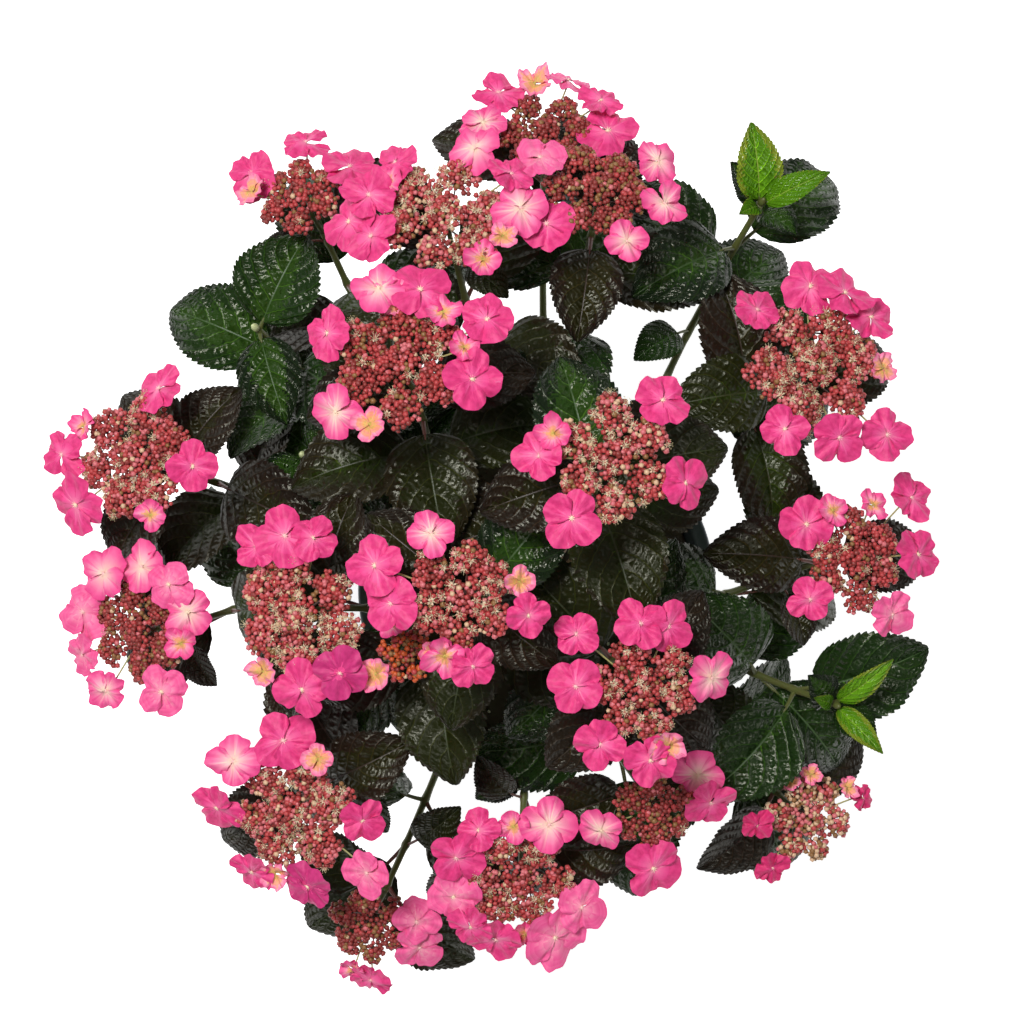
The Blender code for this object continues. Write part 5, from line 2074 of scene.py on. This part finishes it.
@dataclass
class Compost:
    """The compost: a rough mounded top, with crumbs, perlite and dry leaves on it."""

    level: float = 0.190
    mound: float = 0.004
    bottom: float = 0.0033
    shrink: float = 0.0026
    mound_radius: float = 0.0432
    mound_foot: float = 0.0778
    sides: int = 96
    rings: int = 32
    crumbs: int = 560
    perlite: int = 70
    litter: int = 26

    FINISHES = (
        Finish("compost", (58, 42, 32), (34, 25, 19), 0.92, 180, 0.0012, 420),
        Finish("compost_crumb", (70, 52, 38), (42, 31, 23), 0.92, 260, 0.0006, 700),
        Finish("perlite", (226, 222, 212), (206, 200, 188), 0.85, 400, 0.0003, 900),
        Finish("dry_leaf", (176, 150, 58), (138, 98, 48), 0.70, 200, 0.0002, 700),
    )

    def height(self, reach: Array) -> Array:
        """The height of the top at distances from the middle."""
        return self.level + self.mound * np.interp(reach, (self.mound_radius, self.mound_foot),
                                                   (1.0, 0.0))

    def body(self, pot: Pot, dealt: np.random.Generator) -> Shape:
        """The compost itself.

        Args:
            pot: The pot that holds it.
            dealt: Where chance comes from.

        Returns:
            The shape.
        """
        edge = pot.wall_radius(self.level) - self.shrink
        foot = pot.wall_radius(self.bottom) - self.shrink
        reach = np.linspace(0.002, edge, self.rings)
        angle = turns(self.sides)
        rough = dealt.normal(0, 0.0009, (self.rings, self.sides))
        for _ in range(7):
            lobes, wave = dealt.integers(1, 9), dealt.uniform(60, 260)
            rough += 0.0005 * np.sin(angle[None] * lobes + reach[:, None] * wave
                                     + dealt.uniform(0, FULL_TURN))
        rough[reach < 0.03] = -0.0004
        heights = self.height(reach)[:, None] + np.minimum(rough, 0.0016)
        reaches = np.concatenate((reach, (foot, 0.002)))
        heights = np.vstack((heights, np.full((2, self.sides), self.bottom)))
        points = around(reaches[:, None], angle, heights)
        faces = grid_faces(len(reaches), self.sides, closed=True)
        return Shape(points.reshape(-1, 3), faces, np.zeros(len(faces), int))

    def strewn(self, shape: Shape, count: int, size: tuple[float, float], edge: float,
               tone: int, dealt: np.random.Generator) -> Shape:
        """Small things that lie on the top.

        Args:
            shape: One of them, a unit across.
            count: How many there are.
            size: Their least and greatest size.
            edge: How far out they lie.
            tone: Their finish.
            dealt: Where chance comes from.

        Returns:
            The shape.
        """
        reach = edge * np.sqrt(dealt.uniform(0.06, 1.0, count))
        angle = dealt.uniform(0, FULL_TURN, count)
        sizes = dealt.uniform(*size, (count, 3))
        places = around(reach, angle, self.height(reach) + sizes[:, 2] * 0.25)
        ways = unit(np.stack((dealt.normal(0, 0.3, count), dealt.normal(0, 0.3, count),
                              np.ones(count)), axis=1))
        frames = spread_frames(ways, dealt.uniform(0, FULL_TURN, count))
        return shape.scattered(places, frames, sizes, np.full(count, tone))

    def build(self, pot: Pot) -> None:
        """Make the compost and what lies on it.

        Args:
            pot: The pot that holds it.
        """
        dealt = np.random.default_rng(5)
        lump = spindle(((0, -0.5), (0.38, -0.3), (0.5, 0.1), (0.3, 0.42), (0, 0.5)), 6)
        lump.points += dealt.normal(0, 0.06, lump.points.shape)
        blade = Shape(np.array(((0, -0.5, 0), (0.3, -0.1, 0.08), (0.18, 0.3, 0.05), (0, 0.5, 0.1),
                                (-0.2, 0.25, 0.02), (-0.32, -0.15, 0.1), (0, 0.05, 0.02))),
                      np.array([(k, (k + 1) % 6, 6, -1) for k in range(6)]), np.zeros(6, int))
        edge = pot.wall_radius(self.level) - self.shrink - 0.003
        parts = [self.body(pot, dealt),
                 self.strewn(lump, self.crumbs, (0.0016, 0.0052), edge, Ground.CRUMB, dealt),
                 self.strewn(lump, self.perlite, (0.0014, 0.0036), edge, Ground.PERLITE, dealt),
                 self.strewn(blade, self.litter, (0.010, 0.022), edge - 0.008, Ground.DRY_LEAF,
                             dealt)]
        piece = Shape.joined(parts).build("compost_top", self.FINISHES)
        settle(piece, "compost", "soil")


# -------- studio
@dataclass(frozen=True)
class Lamp:
    """A soft square light: its place, the length of its side, and its power in watts."""

    name: str
    place: Place
    size: float
    power: float


@dataclass
class Studio:
    """A pale floor, soft lights and the camera straight above the plant."""

    eye: Place = (-0.018, 0.056, 2.2)
    lens: float = 95.84
    sensor: float = 36.0
    floor_size: float = 60.0
    floor_glow: float = 0.78
    sky: float = 0.18
    aim: Place = (0.0, 0.0, 0.35)
    lamps: tuple[Lamp, ...] = (Lamp("key_light", (-0.95, 0.92, 3.5), 0.9, 109),
                               Lamp("fill_light", (1.5, -1.1, 3.0), 1.2, 15))

    def floor(self) -> None:
        """Make the floor."""
        half = self.floor_size / 2
        points = np.array(((-half, -half, 0), (half, -half, 0), (half, half, 0), (-half, half, 0)))
        shape = Shape(points.astype(float), np.array(((0, 1, 2, 3),)), np.zeros(1, int))
        finish = Finish("studio_floor", (250, 250, 250), (246, 246, 246), 0.9, 3.0, 0.0, 10.0,
                        glow=self.floor_glow)
        floor = shape.build("studio_floor", (finish,))

    def light(self, lamp: Lamp) -> None:
        """Make a light that faces the plant.

        Args:
            lamp: What it is like.
        """
        data = bpy.data.lights.new(lamp.name, "AREA")
        data.size = lamp.size
        data.energy = lamp.power
        light = bpy.data.objects.new(lamp.name, data)
        light.location = lamp.place
        aim = Vector(self.aim) - Vector(lamp.place)
        light.rotation_euler = aim.to_track_quat("-Z", "Y").to_euler()
        bpy.context.scene.collection.objects.link(light)

    def world(self) -> None:
        """Light everything a little from all round."""
        world = bpy.data.worlds.new("studio")
        world.use_nodes = True
        back = world.node_tree.nodes["Background"]
        back.inputs["Color"].default_value = (1.0, 1.0, 1.0, 1.0)
        back.inputs["Strength"].default_value = self.sky
        bpy.context.scene.world = world

    def camera(self) -> None:
        """Make the camera."""
        data = bpy.data.cameras.new("camera")
        data.lens = self.lens
        data.sensor_width = self.sensor
        camera = bpy.data.objects.new("camera", data)
        camera.location = self.eye
        bpy.context.scene.collection.objects.link(camera)
        bpy.context.scene.camera = camera

    def build(self) -> None:
        """Make the whole studio."""
        self.floor()
        self.world()
        for lamp in self.lamps:
            self.light(lamp)
        self.camera()
        view = bpy.context.scene.view_settings
        view.view_transform = "Standard"
        view.look = "None"


# -------- assembly
def settle(piece: bpy.types.Object, slot: str, *nodes: str) -> None:
    """Seat a piece on the body, in place of its solids.

    Args:
        piece: The piece.
        slot: The name of a material slot; not used.
        nodes: The solids that it stands for.
    """
    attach(piece, ROOT_BODY)
    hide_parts(*nodes)
    triangles = sum(len(face.vertices) - 2 for face in piece.data.polygons)
    LOG.info("%s: %d triangles", piece.name, triangles)


def main() -> None:
    """Build every piece in order, and note the sizes of the looks."""
    logging.basicConfig(level=logging.INFO, format="%(message)s")
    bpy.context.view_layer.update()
    canes = Growth().canes()
    shoots = [shoot for cane in canes for shoot in cane.shoots]
    flowering = [shoot for shoot in shoots if shoot.plan.disc]

    pot = Pot()
    pot.build()
    Compost().build(pot)
    Stock().build()
    Canes(canes).build()
    LeafyShoots(shoots).build()
    ray_stalks = RayFlorets(flowering).build()
    FlowerDiscs(flowering).build(ray_stalks)
    Studio().build()


if __name__ == "__main__":
    main()
